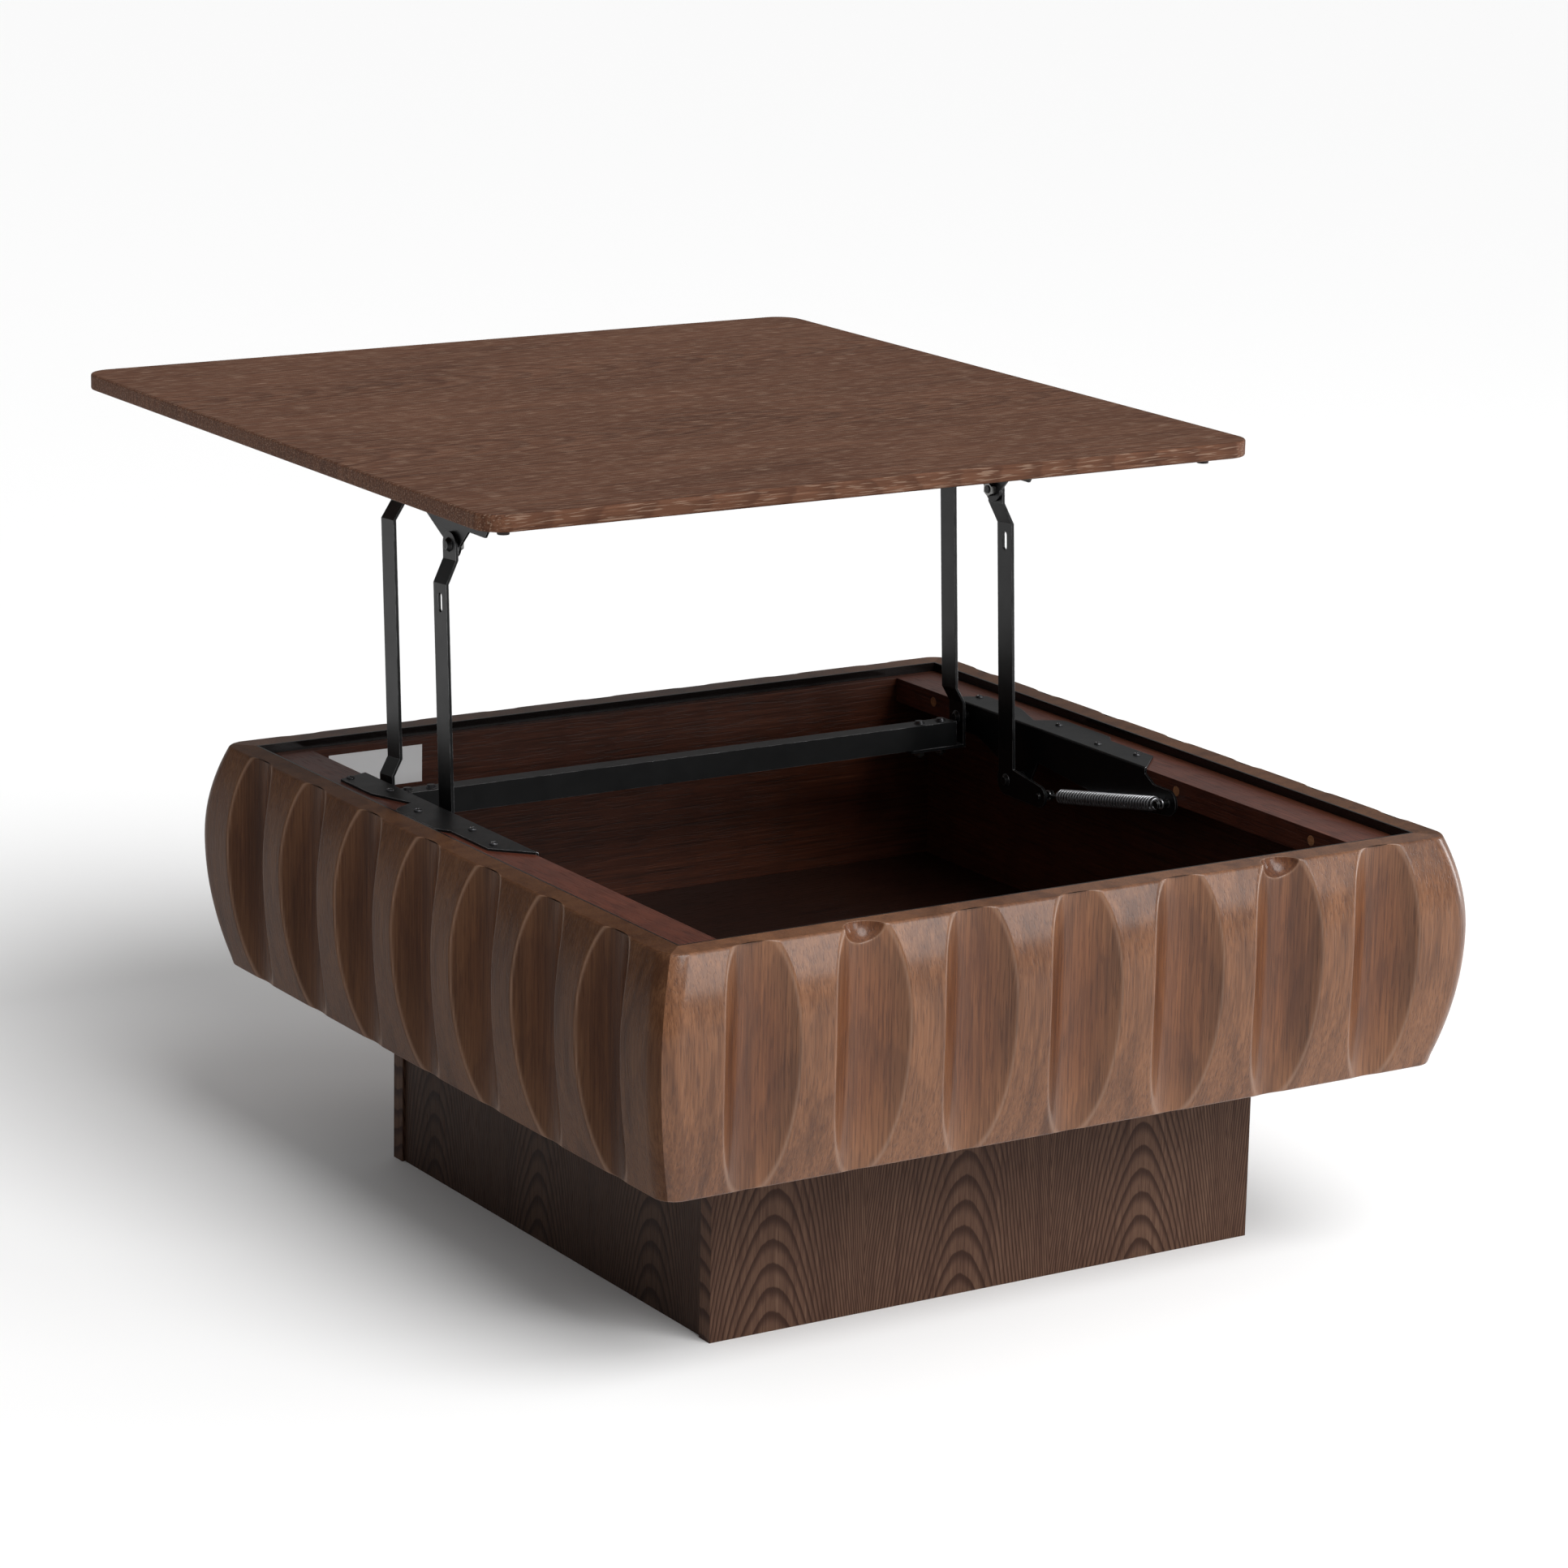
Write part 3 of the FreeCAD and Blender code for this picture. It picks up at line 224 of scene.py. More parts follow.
# %% [markdown]
# ## Wood grain, once for every wood
# A tree's yearly rings are nested cones. A knife that slices veneer off the log meets them at a
# slant and leaves pointed arches, the cathedrals, which run into straight stripes at the sides.
# The group below works that out: the ring number is the length along the board over the ring
# width, plus a constant times the square of the distance from the nearest crown, plus slow
# noise. Late wood is the last part of each ring. Fibres, pores and the broad dark streaks of
# heartwood are noise that is stretched along the grain. The vector that comes in has its X along
# the grain and its Y across it.

# %% Grain group
grain, gin, gout = new_group(
    "wood_grain",
    [("Vector", "Vector", None), ("Crown Spacing", "Float", 0.2), ("Crown Place", "Float", 0.0),
     ("Ring Width", "Float", 0.014), ("Steepness", "Float", 2000.0), ("Waver", "Float", 1.0)],
    [(label, "Float") for label in ("Rings", "Fibre", "Pores", "Cloud", "Streak")])


def stretched(lengthwise, across, **values):
    """Noise with so many blotches per metre along the grain, and so many across it."""
    scaled = add(grain, "VectorMath", {0: gin.outputs["Vector"], 1: (lengthwise, across, across)},
                 operation="MULTIPLY")
    return add(grain, "TexNoise", {"Vector": scaled.outputs[0], "Scale": 1.0, **values})


cut = add(grain, "SeparateXYZ", {0: gin.outputs["Vector"]})
drift = stretched(2.2, 9.0, Detail=2.0, Roughness=0.5)
off = calc(grain, "SUBTRACT", drift.outputs["Fac"], 0.5)
side = calc(grain, "SUBTRACT", cut.outputs["Y"], gin.outputs["Crown Place"])
side = calc(grain, "MULTIPLY_ADD", off, 0.03, side)
half = calc(grain, "MULTIPLY", gin.outputs["Crown Spacing"], 0.5)
side = calc(grain, "PINGPONG", side, half)
arch = calc(grain, "MULTIPLY", calc(grain, "MULTIPLY", side, side), gin.outputs["Steepness"])
ring = calc(grain, "DIVIDE", cut.outputs["X"], gin.outputs["Ring Width"])
ring = calc(grain, "ADD", ring, arch)
ring = calc(grain, "MULTIPLY_ADD", off, calc(grain, "MULTIPLY", gin.outputs["Waver"], 4.0), ring)
ripple = stretched(14.0, 120.0, Detail=2.0)
ring = calc(grain, "MULTIPLY_ADD", ripple.outputs["Fac"], gin.outputs["Waver"], ring)
year = calc(grain, "FRACT", ring)
late = calc(grain, "MULTIPLY", spread(grain, year, 0.35, 0.86), spread(grain, year, 1.0, 0.9))
fibre = stretched(9.0, 420.0, Detail=4.0, Roughness=0.65)
pore = stretched(42.0, 640.0, Detail=1.0, Roughness=0.4)
cloud = stretched(3.0, 7.0, Detail=3.0, Roughness=0.6)
streak = stretched(3.5, 48.0, Detail=3.0, Roughness=0.55)
grain.links.new(spread(grain, streak.outputs["Fac"], 0.48, 0.72), gout.inputs["Streak"])
grain.links.new(late, gout.inputs["Rings"])
grain.links.new(fibre.outputs["Fac"], gout.inputs["Fibre"])
grain.links.new(spread(grain, pore.outputs["Fac"], 0.56, 0.66), gout.inputs["Pores"])
grain.links.new(cloud.outputs["Fac"], gout.inputs["Cloud"])
print("grain group", len(grain.nodes), "nodes")

# %% [markdown]
# ## Soft edges on hard models
# CAD edges are perfectly sharp, and real ones never are: a sanded board or a folded steel plate
# has an edge a fraction of a millimetre round, which catches a thin line of light. The Bevel
# node looks at the faces near a point and tilts the normal round the edge. Where the tilted
# normal differs from the true one there is an edge, and that mask also shows where paint or
# stain has rubbed thin.

# %% Edge group
edges, ein, eout = new_group("soft_edge", [("Radius", "Float", 0.001)],
                             [("Normal", "Vector"), ("Edge", "Float")])
round_off = add(edges, "Bevel", {"Radius": ein.outputs["Radius"]}, samples=4)
true_face = add(edges, "NewGeometry")
agree = add(edges, "VectorMath", {0: round_off.outputs[0], 1: true_face.outputs["Normal"]},
            operation="DOT_PRODUCT")
edges.links.new(round_off.outputs[0], eout.inputs["Normal"])
edges.links.new(spread(edges, agree.outputs["Value"], 0.995, 0.86), eout.inputs["Edge"])
print("edge group", len(edges.nodes), "nodes")

# %% [markdown]
# ## Making a material
# Every finish starts the same way: an empty material, one Principled shader, and the object's own
# coordinates turned so that X runs along the grain.

# %% Material starter
def finish(name):
    """New node material, its tree, and its Principled shader."""
    material = bpy.data.materials.new(name)
    material.use_nodes = True
    tree = material.node_tree
    tree.nodes.clear()
    shader = add(tree, "BsdfPrincipled")
    end = add(tree, "OutputMaterial")
    tree.links.new(shader.outputs[0], end.inputs["Surface"])
    return material, tree, shader


def along(tree, axis, shift=(0, 0, 0)):
    """Object coordinates, turned so that their X runs along the given axis of the object."""
    right = math.pi / 2
    turn = {"x": (0, 0, 0), "y": (0, 0, -right), "z": (0, right, 0), "zx": (right, 0, right)}[axis]
    where = add(tree, "TexCoord")
    return add(tree, "Mapping", {"Vector": where.outputs["Object"], "Rotation": turn,
                                 "Location": shift}).outputs[0]


def raise_bump(tree, height, distance, normal=None):
    """Bump from a height, on top of another normal where there is one."""
    node = add(tree, "Bump", {"Height": height, "Distance": distance, "Strength": 1.0})
    if normal is not None:
        tree.links.new(normal, node.inputs["Normal"])
    return node.outputs[0]


def wood(name, axis, dark, mid, pale, ring_dark, rings, pores, pore_colour, rough,
         bump, grain_values, coat=0.0, specular=0.3):
    """A stained wood: fibres run from dark to pale, growth rings and pores are laid over them."""
    material, tree, shader = finish(name)
    pattern = add(tree, "Group", {"Vector": along(tree, axis), **grain_values}, node_tree=grain)
    edge = add(tree, "Group", {"Radius": 1.0 * MM}, node_tree=edges)
    tone = calc(tree, "MULTIPLY_ADD", pattern.outputs["Fibre"], 0.75,
                calc(tree, "MULTIPLY", pattern.outputs["Cloud"], 0.25))
    colour = blend(tree, spread(tree, tone, 0.34, 0.52), dark, mid)
    colour = blend(tree, spread(tree, tone, 0.52, 0.7), colour, pale)
    colour = blend(tree, calc(tree, "MULTIPLY", pattern.outputs["Rings"], rings), colour, ring_dark)
    colour = blend(tree, calc(tree, "MULTIPLY", pattern.outputs["Streak"], 0.22), colour, ring_dark)
    flecks = calc(tree, "MULTIPLY", pattern.outputs["Pores"], pores)
    colour = blend(tree, flecks, colour, pore_colour)
    colour = blend(tree, calc(tree, "MULTIPLY", edge.outputs["Edge"], 0.35), colour, pale)
    tree.links.new(colour, shader.inputs["Base Color"])
    gloss = calc(tree, "MULTIPLY_ADD", pattern.outputs["Fibre"], 0.18, rough - 0.09)
    gloss = calc(tree, "MULTIPLY_ADD", pattern.outputs["Pores"], 0.12, gloss)
    tree.links.new(gloss, shader.inputs["Roughness"])
    height = calc(tree, "MULTIPLY_ADD", pattern.outputs["Pores"], -1.0,
                  calc(tree, "MULTIPLY", pattern.outputs["Fibre"], 0.5))
    relief = raise_bump(tree, height, bump, edge.outputs["Normal"])
    tree.links.new(relief, shader.inputs["Normal"])
    shader.inputs["Coat Weight"].default_value = coat
    shader.inputs["Coat Roughness"].default_value = 0.22
    shader.inputs["Specular IOR Level"].default_value = specular
    return material


print("starter ready")

# %% [markdown]
# ## The veneers
# The top is open pored ash or oak veneer with its grain from side to side. Its brown stain is
# pale in the pores, as limed wood is. The plinth wears the same kind of veneer upright, darker
# and with strong cathedrals, whose crowns repeat where sheets of veneer are laid side by side.

# %% Veneer materials
top_veneer = wood(
    "top_veneer", "x", stain(66, 40, 28), stain(92, 61, 45), stain(114, 80, 62), stain(58, 34, 24),
    rings=0.42, pores=0.5, pore_colour=stain(142, 118, 101), rough=0.56, specular=0.08,
    bump=0.12 * MM, grain_values={"Crown Spacing": 0.34, "Crown Place": 0.05, "Ring Width": 0.05,
                                   "Steepness": 900.0, "Waver": 0.3})
VENEER = {"Crown Spacing": 0.205, "Ring Width": 0.023, "Steepness": 2000.0, "Waver": 0.22}


def plinth_veneer(name, axis, crown, painted_shade_dim):
    """Upright veneer of one plinth board: crown places its first crown, a low factor darkens it as
    painted shade.
    """
    return wood(
        name, axis, stain(68 * painted_shade_dim, 46 * painted_shade_dim, 36 * painted_shade_dim), stain(86 * painted_shade_dim, 62 * painted_shade_dim, 49 * painted_shade_dim),
        stain(102 * painted_shade_dim, 77 * painted_shade_dim, 62 * painted_shade_dim), stain(42 * painted_shade_dim, 23 * painted_shade_dim, 16 * painted_shade_dim),
        rings=0.85, pores=0.35, pore_colour=stain(50, 31, 24), rough=0.5, specular=0.12,
        bump=0.12 * MM, grain_values={**VENEER, "Crown Place": crown})


print("veneers", top_veneer.name)

# %% [markdown]
# ## The other woods
# The carved walls are solid hardwood under a reddish walnut stain and a semi-gloss lacquer. The
# stain lies thicker in the hollows, which also get painted shade, so the mesh carries how far each
# point is carved in, and the colour follows that. The arrises get a painted highlight, and the
# walls turned from the light a darker stain, which is painted shade. The inside of the box is
# plain veneer stained dark, the rails are solid wood with the same stain, and their screw holes
# are closed with plugs of bare wood.

# %% Carved wood
def carved(name, axis, shift, painted_shade_dim, gloss):
    """Walnut stained hardwood, redder and darker in the hollows: pooled stain and painted shade.

    The mesh's own values give how far a point is carved in and where a pale painted highlight runs
    along the arrises. A factor below 1 darkens the stain as painted shade, and gloss is the weight
    of the lacquer coat.
    """
    material, tree, shader = finish(name)
    pattern = add(tree, "Group", {
        "Vector": along(tree, axis, shift), "Crown Spacing": 0.31, "Crown Place": 0.07,
        "Ring Width": 0.11, "Steepness": 170.0, "Waver": 0.5}, node_tree=grain)
    # Redder and darker in the hollows: pooled stain and painted shade.
    hollow_stain_and_shade = add(tree, "Attribute", attribute_name="hollow_stain_and_shade").outputs["Fac"]
    tone = calc(tree, "MULTIPLY_ADD", pattern.outputs["Fibre"], 0.6,
                calc(tree, "MULTIPLY", pattern.outputs["Cloud"], 0.4))
    proud = blend(tree, spread(tree, tone, 0.34, 0.66), stain(*(painted_shade_dim * np.array((94, 59, 37)))),
                  stain(*(painted_shade_dim * np.array((124, 84, 57)))))
    sunk_stain_and_shade = blend(tree, spread(tree, tone, 0.34, 0.66), stain(*(painted_shade_dim * np.array((76, 41, 24)))),
                 stain(*(painted_shade_dim * np.array((112, 68, 40)))))
    colour = blend(tree, spread(tree, hollow_stain_and_shade, 0.0, 0.9, 0.0, 0.75), proud, sunk_stain_and_shade)
    lines = calc(tree, "MULTIPLY", pattern.outputs["Rings"], 0.22)
    colour = blend(tree, lines, colour, stain(52, 29, 21))
    heart = calc(tree, "MULTIPLY", pattern.outputs["Streak"], 0.5)
    colour = blend(tree, heart, colour, stain(*(painted_shade_dim * np.array((58, 32, 19)))))
    flecks = calc(tree, "MULTIPLY", pattern.outputs["Pores"], 0.3)
    colour = blend(tree, flecks, colour, stain(50, 28, 20))
    # Pale line along the arrises of flutes and scoops: a painted highlight.
    arris_painted_highlight = add(tree, "Attribute", attribute_name="arris_painted_highlight").outputs["Fac"]
    colour = blend(tree, calc(tree, "MULTIPLY", arris_painted_highlight, 0.5), colour, stain(140, 112, 94))
    tree.links.new(colour, shader.inputs["Base Color"])
    tree.links.new(calc(tree, "MULTIPLY_ADD", tone, 0.25, 0.24), shader.inputs["Roughness"])
    height = calc(tree, "SUBTRACT", pattern.outputs["Fibre"], pattern.outputs["Pores"])
    tree.links.new(raise_bump(tree, height, 0.12 * MM), shader.inputs["Normal"])
    shader.inputs["Coat Weight"].default_value = gloss
    shader.inputs["Coat Roughness"].default_value = 0.16
    shader.inputs["Specular IOR Level"].default_value = 0.8 * gloss
    return material


# The walls turned from the light get darker copies of the stain, which is painted shade, and a
# thinner lacquer coat.
carved_wood = {side: carved("carved_wood_" + side, axis, (0.0, place, place * 2), painted_shade_dim, gloss)
               for side, axis, place, painted_shade_dim, gloss in (
                   ("front", "zx", 0.0, 1.0, 0.3), ("back", "zx", 0.37, 0.92, 0.2),
                   ("left", "z", 0.71, 0.72, 0.06), ("right", "z", 1.13, 0.8, 0.12))}
print("carved woods", len(carved_wood))

# %% Inside woods
PLAIN = {"Crown Spacing": 0.3, "Ring Width": 0.06, "Steepness": 500.0}
inside_walls, inside_sides = (
    wood(name, axis, stain(50, 24, 13), stain(72, 36, 21), stain(92, 50, 31), stain(42, 19, 11),
         rings=0.2, pores=0.25, pore_colour=stain(30, 17, 12), rough=0.42, bump=0.08 * MM,
         grain_values=PLAIN)
    for name, axis in (("interior_veneer", "x"), ("interior_veneer_sides", "y")))
box_floor = wood(
    "box_floor_veneer", "x", stain(26, 13, 9), stain(40, 20, 13), stain(56, 30, 20),
    stain(22, 11, 8), rings=0.2, pores=0.2, pore_colour=stain(22, 12, 8), rough=0.36, coat=0.25,
    bump=0.06 * MM, grain_values=PLAIN)
rail_wood = wood(
    "rail_wood", "y", stain(62, 29, 20), stain(84, 43, 30), stain(104, 58, 42), stain(52, 24, 17),
    rings=0.3, pores=0.3, pore_colour=stain(46, 22, 17), rough=0.4, coat=0.2, bump=0.1 * MM,
    grain_values={"Crown Spacing": 0.12, "Ring Width": 0.05, "Steepness": 900.0})
plug_wood = wood(
    "plug_wood", "x", stain(134, 86, 54), stain(168, 114, 76), stain(192, 142, 102),
    stain(120, 76, 46), rings=0.3, pores=0.2, pore_colour=stain(90, 52, 32), rough=0.55,
    bump=0.08 * MM, grain_values={"Crown Spacing": 0.02, "Ring Width": 0.004, "Steepness": 9000.0})
bare_wood = wood(
    "bare_softwood", "x", stain(176, 138, 92), stain(200, 164, 116), stain(216, 186, 142),
    stain(168, 116, 70), rings=0.7, pores=0.15, pore_colour=stain(150, 108, 70), rough=0.75,
    bump=0.3 * MM, grain_values={"Crown Spacing": 0.05, "Ring Width": 0.02, "Steepness": 9000.0})
print("woods", [m.name for m in bpy.data.materials if "wood" in m.name or "veneer" in m.name])

# %% [markdown]
# ## Steel, rubber and paper
# Powder coat is baked paint: satin black, with a fine orange peel, and thinner on the edges of
# the blank, where bare metal shows through as a bright line. Screws are zinc plated, then
# blackened. The spring is oiled wire, brighter than paint. The bumpers are plain rubber.

# %% Metal and small materials
def metal(name, base, worn, rough, wear, metallic, peel, radius):
    """Coated or plated steel: orange peel bump, and a worn edge where the metal shows.

    peel and radius are in millimetres, wear and metallic are shares.
    """
    material, tree, shader = finish(name)
    where = add(tree, "TexCoord").outputs["Object"]
    skin = add(tree, "TexNoise", {"Vector": where, "Scale": 900.0, "Detail": 2.0})
    patch = add(tree, "TexNoise", {"Vector": where, "Scale": 38.0, "Detail": 4.0, "Roughness": 0.7})
    edge = add(tree, "Group", {"Radius": radius * MM}, node_tree=edges)
    patches = spread(tree, patch.outputs["Fac"], 0.35, 0.62)
    bare = calc(tree, "MULTIPLY", edge.outputs["Edge"], patches)
    bare = calc(tree, "MULTIPLY", bare, wear)
    tree.links.new(blend(tree, bare, base, worn), shader.inputs["Base Color"])
    shine = calc(tree, "MULTIPLY_ADD", patch.outputs["Fac"], 0.16, rough - 0.08)
    tree.links.new(shine, shader.inputs["Roughness"])
    tree.links.new(calc(tree, "MAXIMUM", bare, metallic), shader.inputs["Metallic"])
    bump = raise_bump(tree, skin.outputs["Fac"], peel * MM, edge.outputs["Normal"])
    tree.links.new(bump, shader.inputs["Normal"])
    shader.inputs["Specular IOR Level"].default_value = 0.28
    return material


powder_coat = metal("powder_coat", stain(11, 12, 13), stain(176, 176, 178),
                    0.36, 0.9, 0.0, 0.05, 0.8)
dark_screw = metal("dark_screw", stain(66, 66, 68), stain(190, 188, 184),
                   0.32, 0.9, 0.85, 0.02, 0.3)
plated = metal("plated_steel", stain(120, 120, 118), stain(205, 203, 198),
               0.28, 0.7, 0.95, 0.02, 0.3)
spring_wire = metal("spring_wire", stain(150, 151, 154), stain(210, 210, 212),
                    0.3, 0.4, 0.9, 0.01, 0.2)
rubber = metal("rubber", stain(46, 38, 36), stain(60, 52, 50),
               0.7, 0.2, 0.0, 0.06, 0.6)
edging = metal("gloss_edging", stain(20, 15, 14), stain(58, 46, 42),
               0.2, 0.5, 0.0, 0.02, 0.4)
label_paper = metal("label_paper", stain(248, 249, 250), stain(252, 252, 252),
                    0.55, 0.3, 0.0, 0.01, 0.1)
print("materials", len(bpy.data.materials))

# %% [markdown]
# ## Surfaces from grids
# New pieces are grids of points worked out with numpy. One helper turns a grid into quads, and
# can close it along either direction. Rings of points along a path give tubes and coils.

# %% Grid helper
def quads(rows, columns, close_rows=False, close_columns=False, first=0):
    """Corner numbers of the quads between neighbouring points of a grid, row by row."""
    r = np.arange(rows if close_rows else rows - 1)
    c = np.arange(columns if close_columns else columns - 1)
    r, c = np.meshgrid(r, c, indexing="ij")
    r2, c2 = (r + 1) % rows, (c + 1) % columns
    faces = np.stack([r * columns + c, r * columns + c2, r2 * columns + c2, r2 * columns + c], -1)
    return faces.reshape(-1, 4) + first


def make_mesh(name, points, faces, material, caps=(), values=None):
    """Mesh object from points and quads. Caps are closed outlines, values are named per point."""
    mesh = bpy.data.meshes.new(name)
    mesh.from_pydata(points.tolist(), [], faces.tolist() + [list(cap) for cap in caps])
    for key, value in (values or {}).items():
        attribute = mesh.attributes.new(key, "FLOAT", "POINT")
        attribute.data.foreach_set("value", value.astype(np.float32))
    mesh.polygons.foreach_set("use_smooth", np.full(len(mesh.polygons), True))
    mesh.materials.append(material)
    mesh.validate()
    mesh.update()
    piece = bpy.data.objects.new(name, mesh)
    bpy.context.scene.collection.objects.link(piece)
    return piece


def facing_out(piece):
    """Volume that the mesh's faces enclose: above 0 when they face out, below 0 when in."""
    mesh = piece.data
    mesh.calc_loop_triangles()
    corners = np.zeros(len(mesh.loop_triangles) * 3, int)
    mesh.loop_triangles.foreach_get("vertices", corners)
    places = np.zeros(len(mesh.vertices) * 3)
    mesh.vertices.foreach_get("co", places)
    a, b, c = places.reshape(-1, 3)[corners.reshape(-1, 3)].transpose(1, 0, 2)
    return float(np.einsum("ij,ij->i", a, np.cross(b, c)).sum() / 6)


print("grid of 3 by 4 points has", len(quads(3, 4)), "quads")

# %% [markdown]
# ## The carved walls
# Each wall is a thick board whose face bulges out like a pillow. Seven flutes are scooped down
# it, as with a large gouge. They get shallower towards the rim and the bottom, because the bulge
# draws back there, but they still nick both edges. The front wall also has two finger scoops in
# its rim. A boolean would leave knife sharp arrises, so the wall is worked out as a height field
# instead: the distance of the face from the middle of the box is the smaller of the pillow and
# the flutes, taken softly. The face is drawn slimmer than the CAD outline at its widest level,
# because the outline of the real table is closer to that.

# %% Wall sizes, in part measured from the CAD pieces
low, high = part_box("carved_front_panel")
centre_y = (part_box("carved_front_panel")[0].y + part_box("carved_back_panel")[1].y) / 2
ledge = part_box("recess_strips")
RIM = 0.425
SLIMMER = 0.0065
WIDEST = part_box("carved_right_panel")[1].x - SLIMMER
INNER = ledge[1].x
FLOOR_Z, RIM_Z = low.z, high.z
BOTTOM = RIM - 0.003
WIDEST_SHARE = 0.59
WIDEST_Z = FLOOR_Z + WIDEST_SHARE * (RIM_Z - FLOOR_Z)
FLUTES_EACH_SIDE = 3
FLUTE_PITCH, FLUTE_WIDTH, FLUTE_DEPTH = 0.113, 0.077, 0.024
FLUTE_RADIUS = ((FLUTE_WIDTH / 2) ** 2 + FLUTE_DEPTH ** 2) / (2 * FLUTE_DEPTH)
CORNER, LEAST_CORNER = 0.022, 0.0004
STRAIGHT, STRAIGHT_POINTS = 0.395, 633
ARRIS_SOFTNESS, ARRIS_HIGHLIGHT_WIDTH = 0.003, 0.0022
SCOOP_PLACE, SCOOP_RADIUS, SCOOP_OFFSET = 2 * FLUTE_PITCH, 0.021, 0.003
SCOOP_SOFTNESS, SCOOP_FADE, SCOOP_CLEARANCE = 0.0016, 0.004, 0.001
print("rim", RIM, "widest", round(WIDEST, 4), "inner", round(INNER, 4),
      "centre y", round(centre_y, 4))


# %% Formulas of the wall
def soft_least(a, b, soft):
    """The smaller of two heights, rounded over where they are closer than soft."""
    near = np.maximum(soft - np.abs(a - b), 0) / soft
    return np.minimum(a, b) - near * near * soft / 4


def pillow(z):
    """Distance of the uncarved face: a parabola below the widest level and another above it."""
    below = (z - WIDEST_Z) / (WIDEST_Z - FLOOR_Z)
    above = (z - WIDEST_Z) / (RIM_Z - WIDEST_Z)
    return np.where(z < WIDEST_Z, WIDEST - (WIDEST - BOTTOM) * below ** 2,
                    WIDEST - (WIDEST - RIM) * above ** 2)


def flutes(u):
    """Distance of the nearest flute's surface: a circle round an upright axis outside the wall."""
    nearest = np.clip(np.round(u / FLUTE_PITCH), -FLUTES_EACH_SIDE, FLUTES_EACH_SIDE) * FLUTE_PITCH
    across = np.abs(u - nearest)
    axis = WIDEST - FLUTE_DEPTH + FLUTE_RADIUS
    inside = np.sqrt(np.maximum(FLUTE_RADIUS ** 2 - across ** 2, 0))
    return np.where(across < FLUTE_RADIUS, axis - inside, axis + (across - FLUTE_RADIUS))


def bend(a, corner, b, count):
    """Points of a quadratic curve that leaves a and reaches b, pulled towards the corner."""
    t = np.linspace(0, 1, count)[:, None]
    return (1 - t) ** 2 * np.array(a) + 2 * t * (1 - t) * np.array(corner) + t ** 2 * np.array(b)


def wall_section(count=112, ease=0.0022):
    """Outline of the wall seen from its end, in distance and level, and a mask of its face."""
    t = np.linspace(0, 1, count)
    t = t - 0.6 * np.sin(2 * np.pi * t) / (2 * np.pi)
    z = FLOOR_Z + ease + t * (RIM_Z - FLOOR_Z - 2 * ease)
    face = np.stack([pillow(z), z], -1)
    foot = bend((BOTTOM - ease, FLOOR_Z), (BOTTOM, FLOOR_Z), face[0], 5)[:-1]
    brow = bend(face[-1], (RIM, RIM_Z), (RIM - ease, RIM_Z), 6)[1:]
    rim = np.stack([np.linspace(RIM - ease, INNER, 18)[1:], np.full(17, RIM_Z)], -1)
    inside = np.stack([np.full(6, INNER), np.linspace(RIM_Z, FLOOR_Z, 7)[1:]], -1)
    under = np.stack([np.linspace(INNER, BOTTOM - ease, 6)[1:-1], np.full(4, FLOOR_Z)], -1)
    outline = np.concatenate([foot, face, brow, rim, inside, under])
    carved_part = np.arange(len(outline)) < len(foot) + len(face) + len(brow)
    return outline, carved_part


print("pillow at the widest level", round(float(pillow(np.array([WIDEST_Z]))[0]), 4))

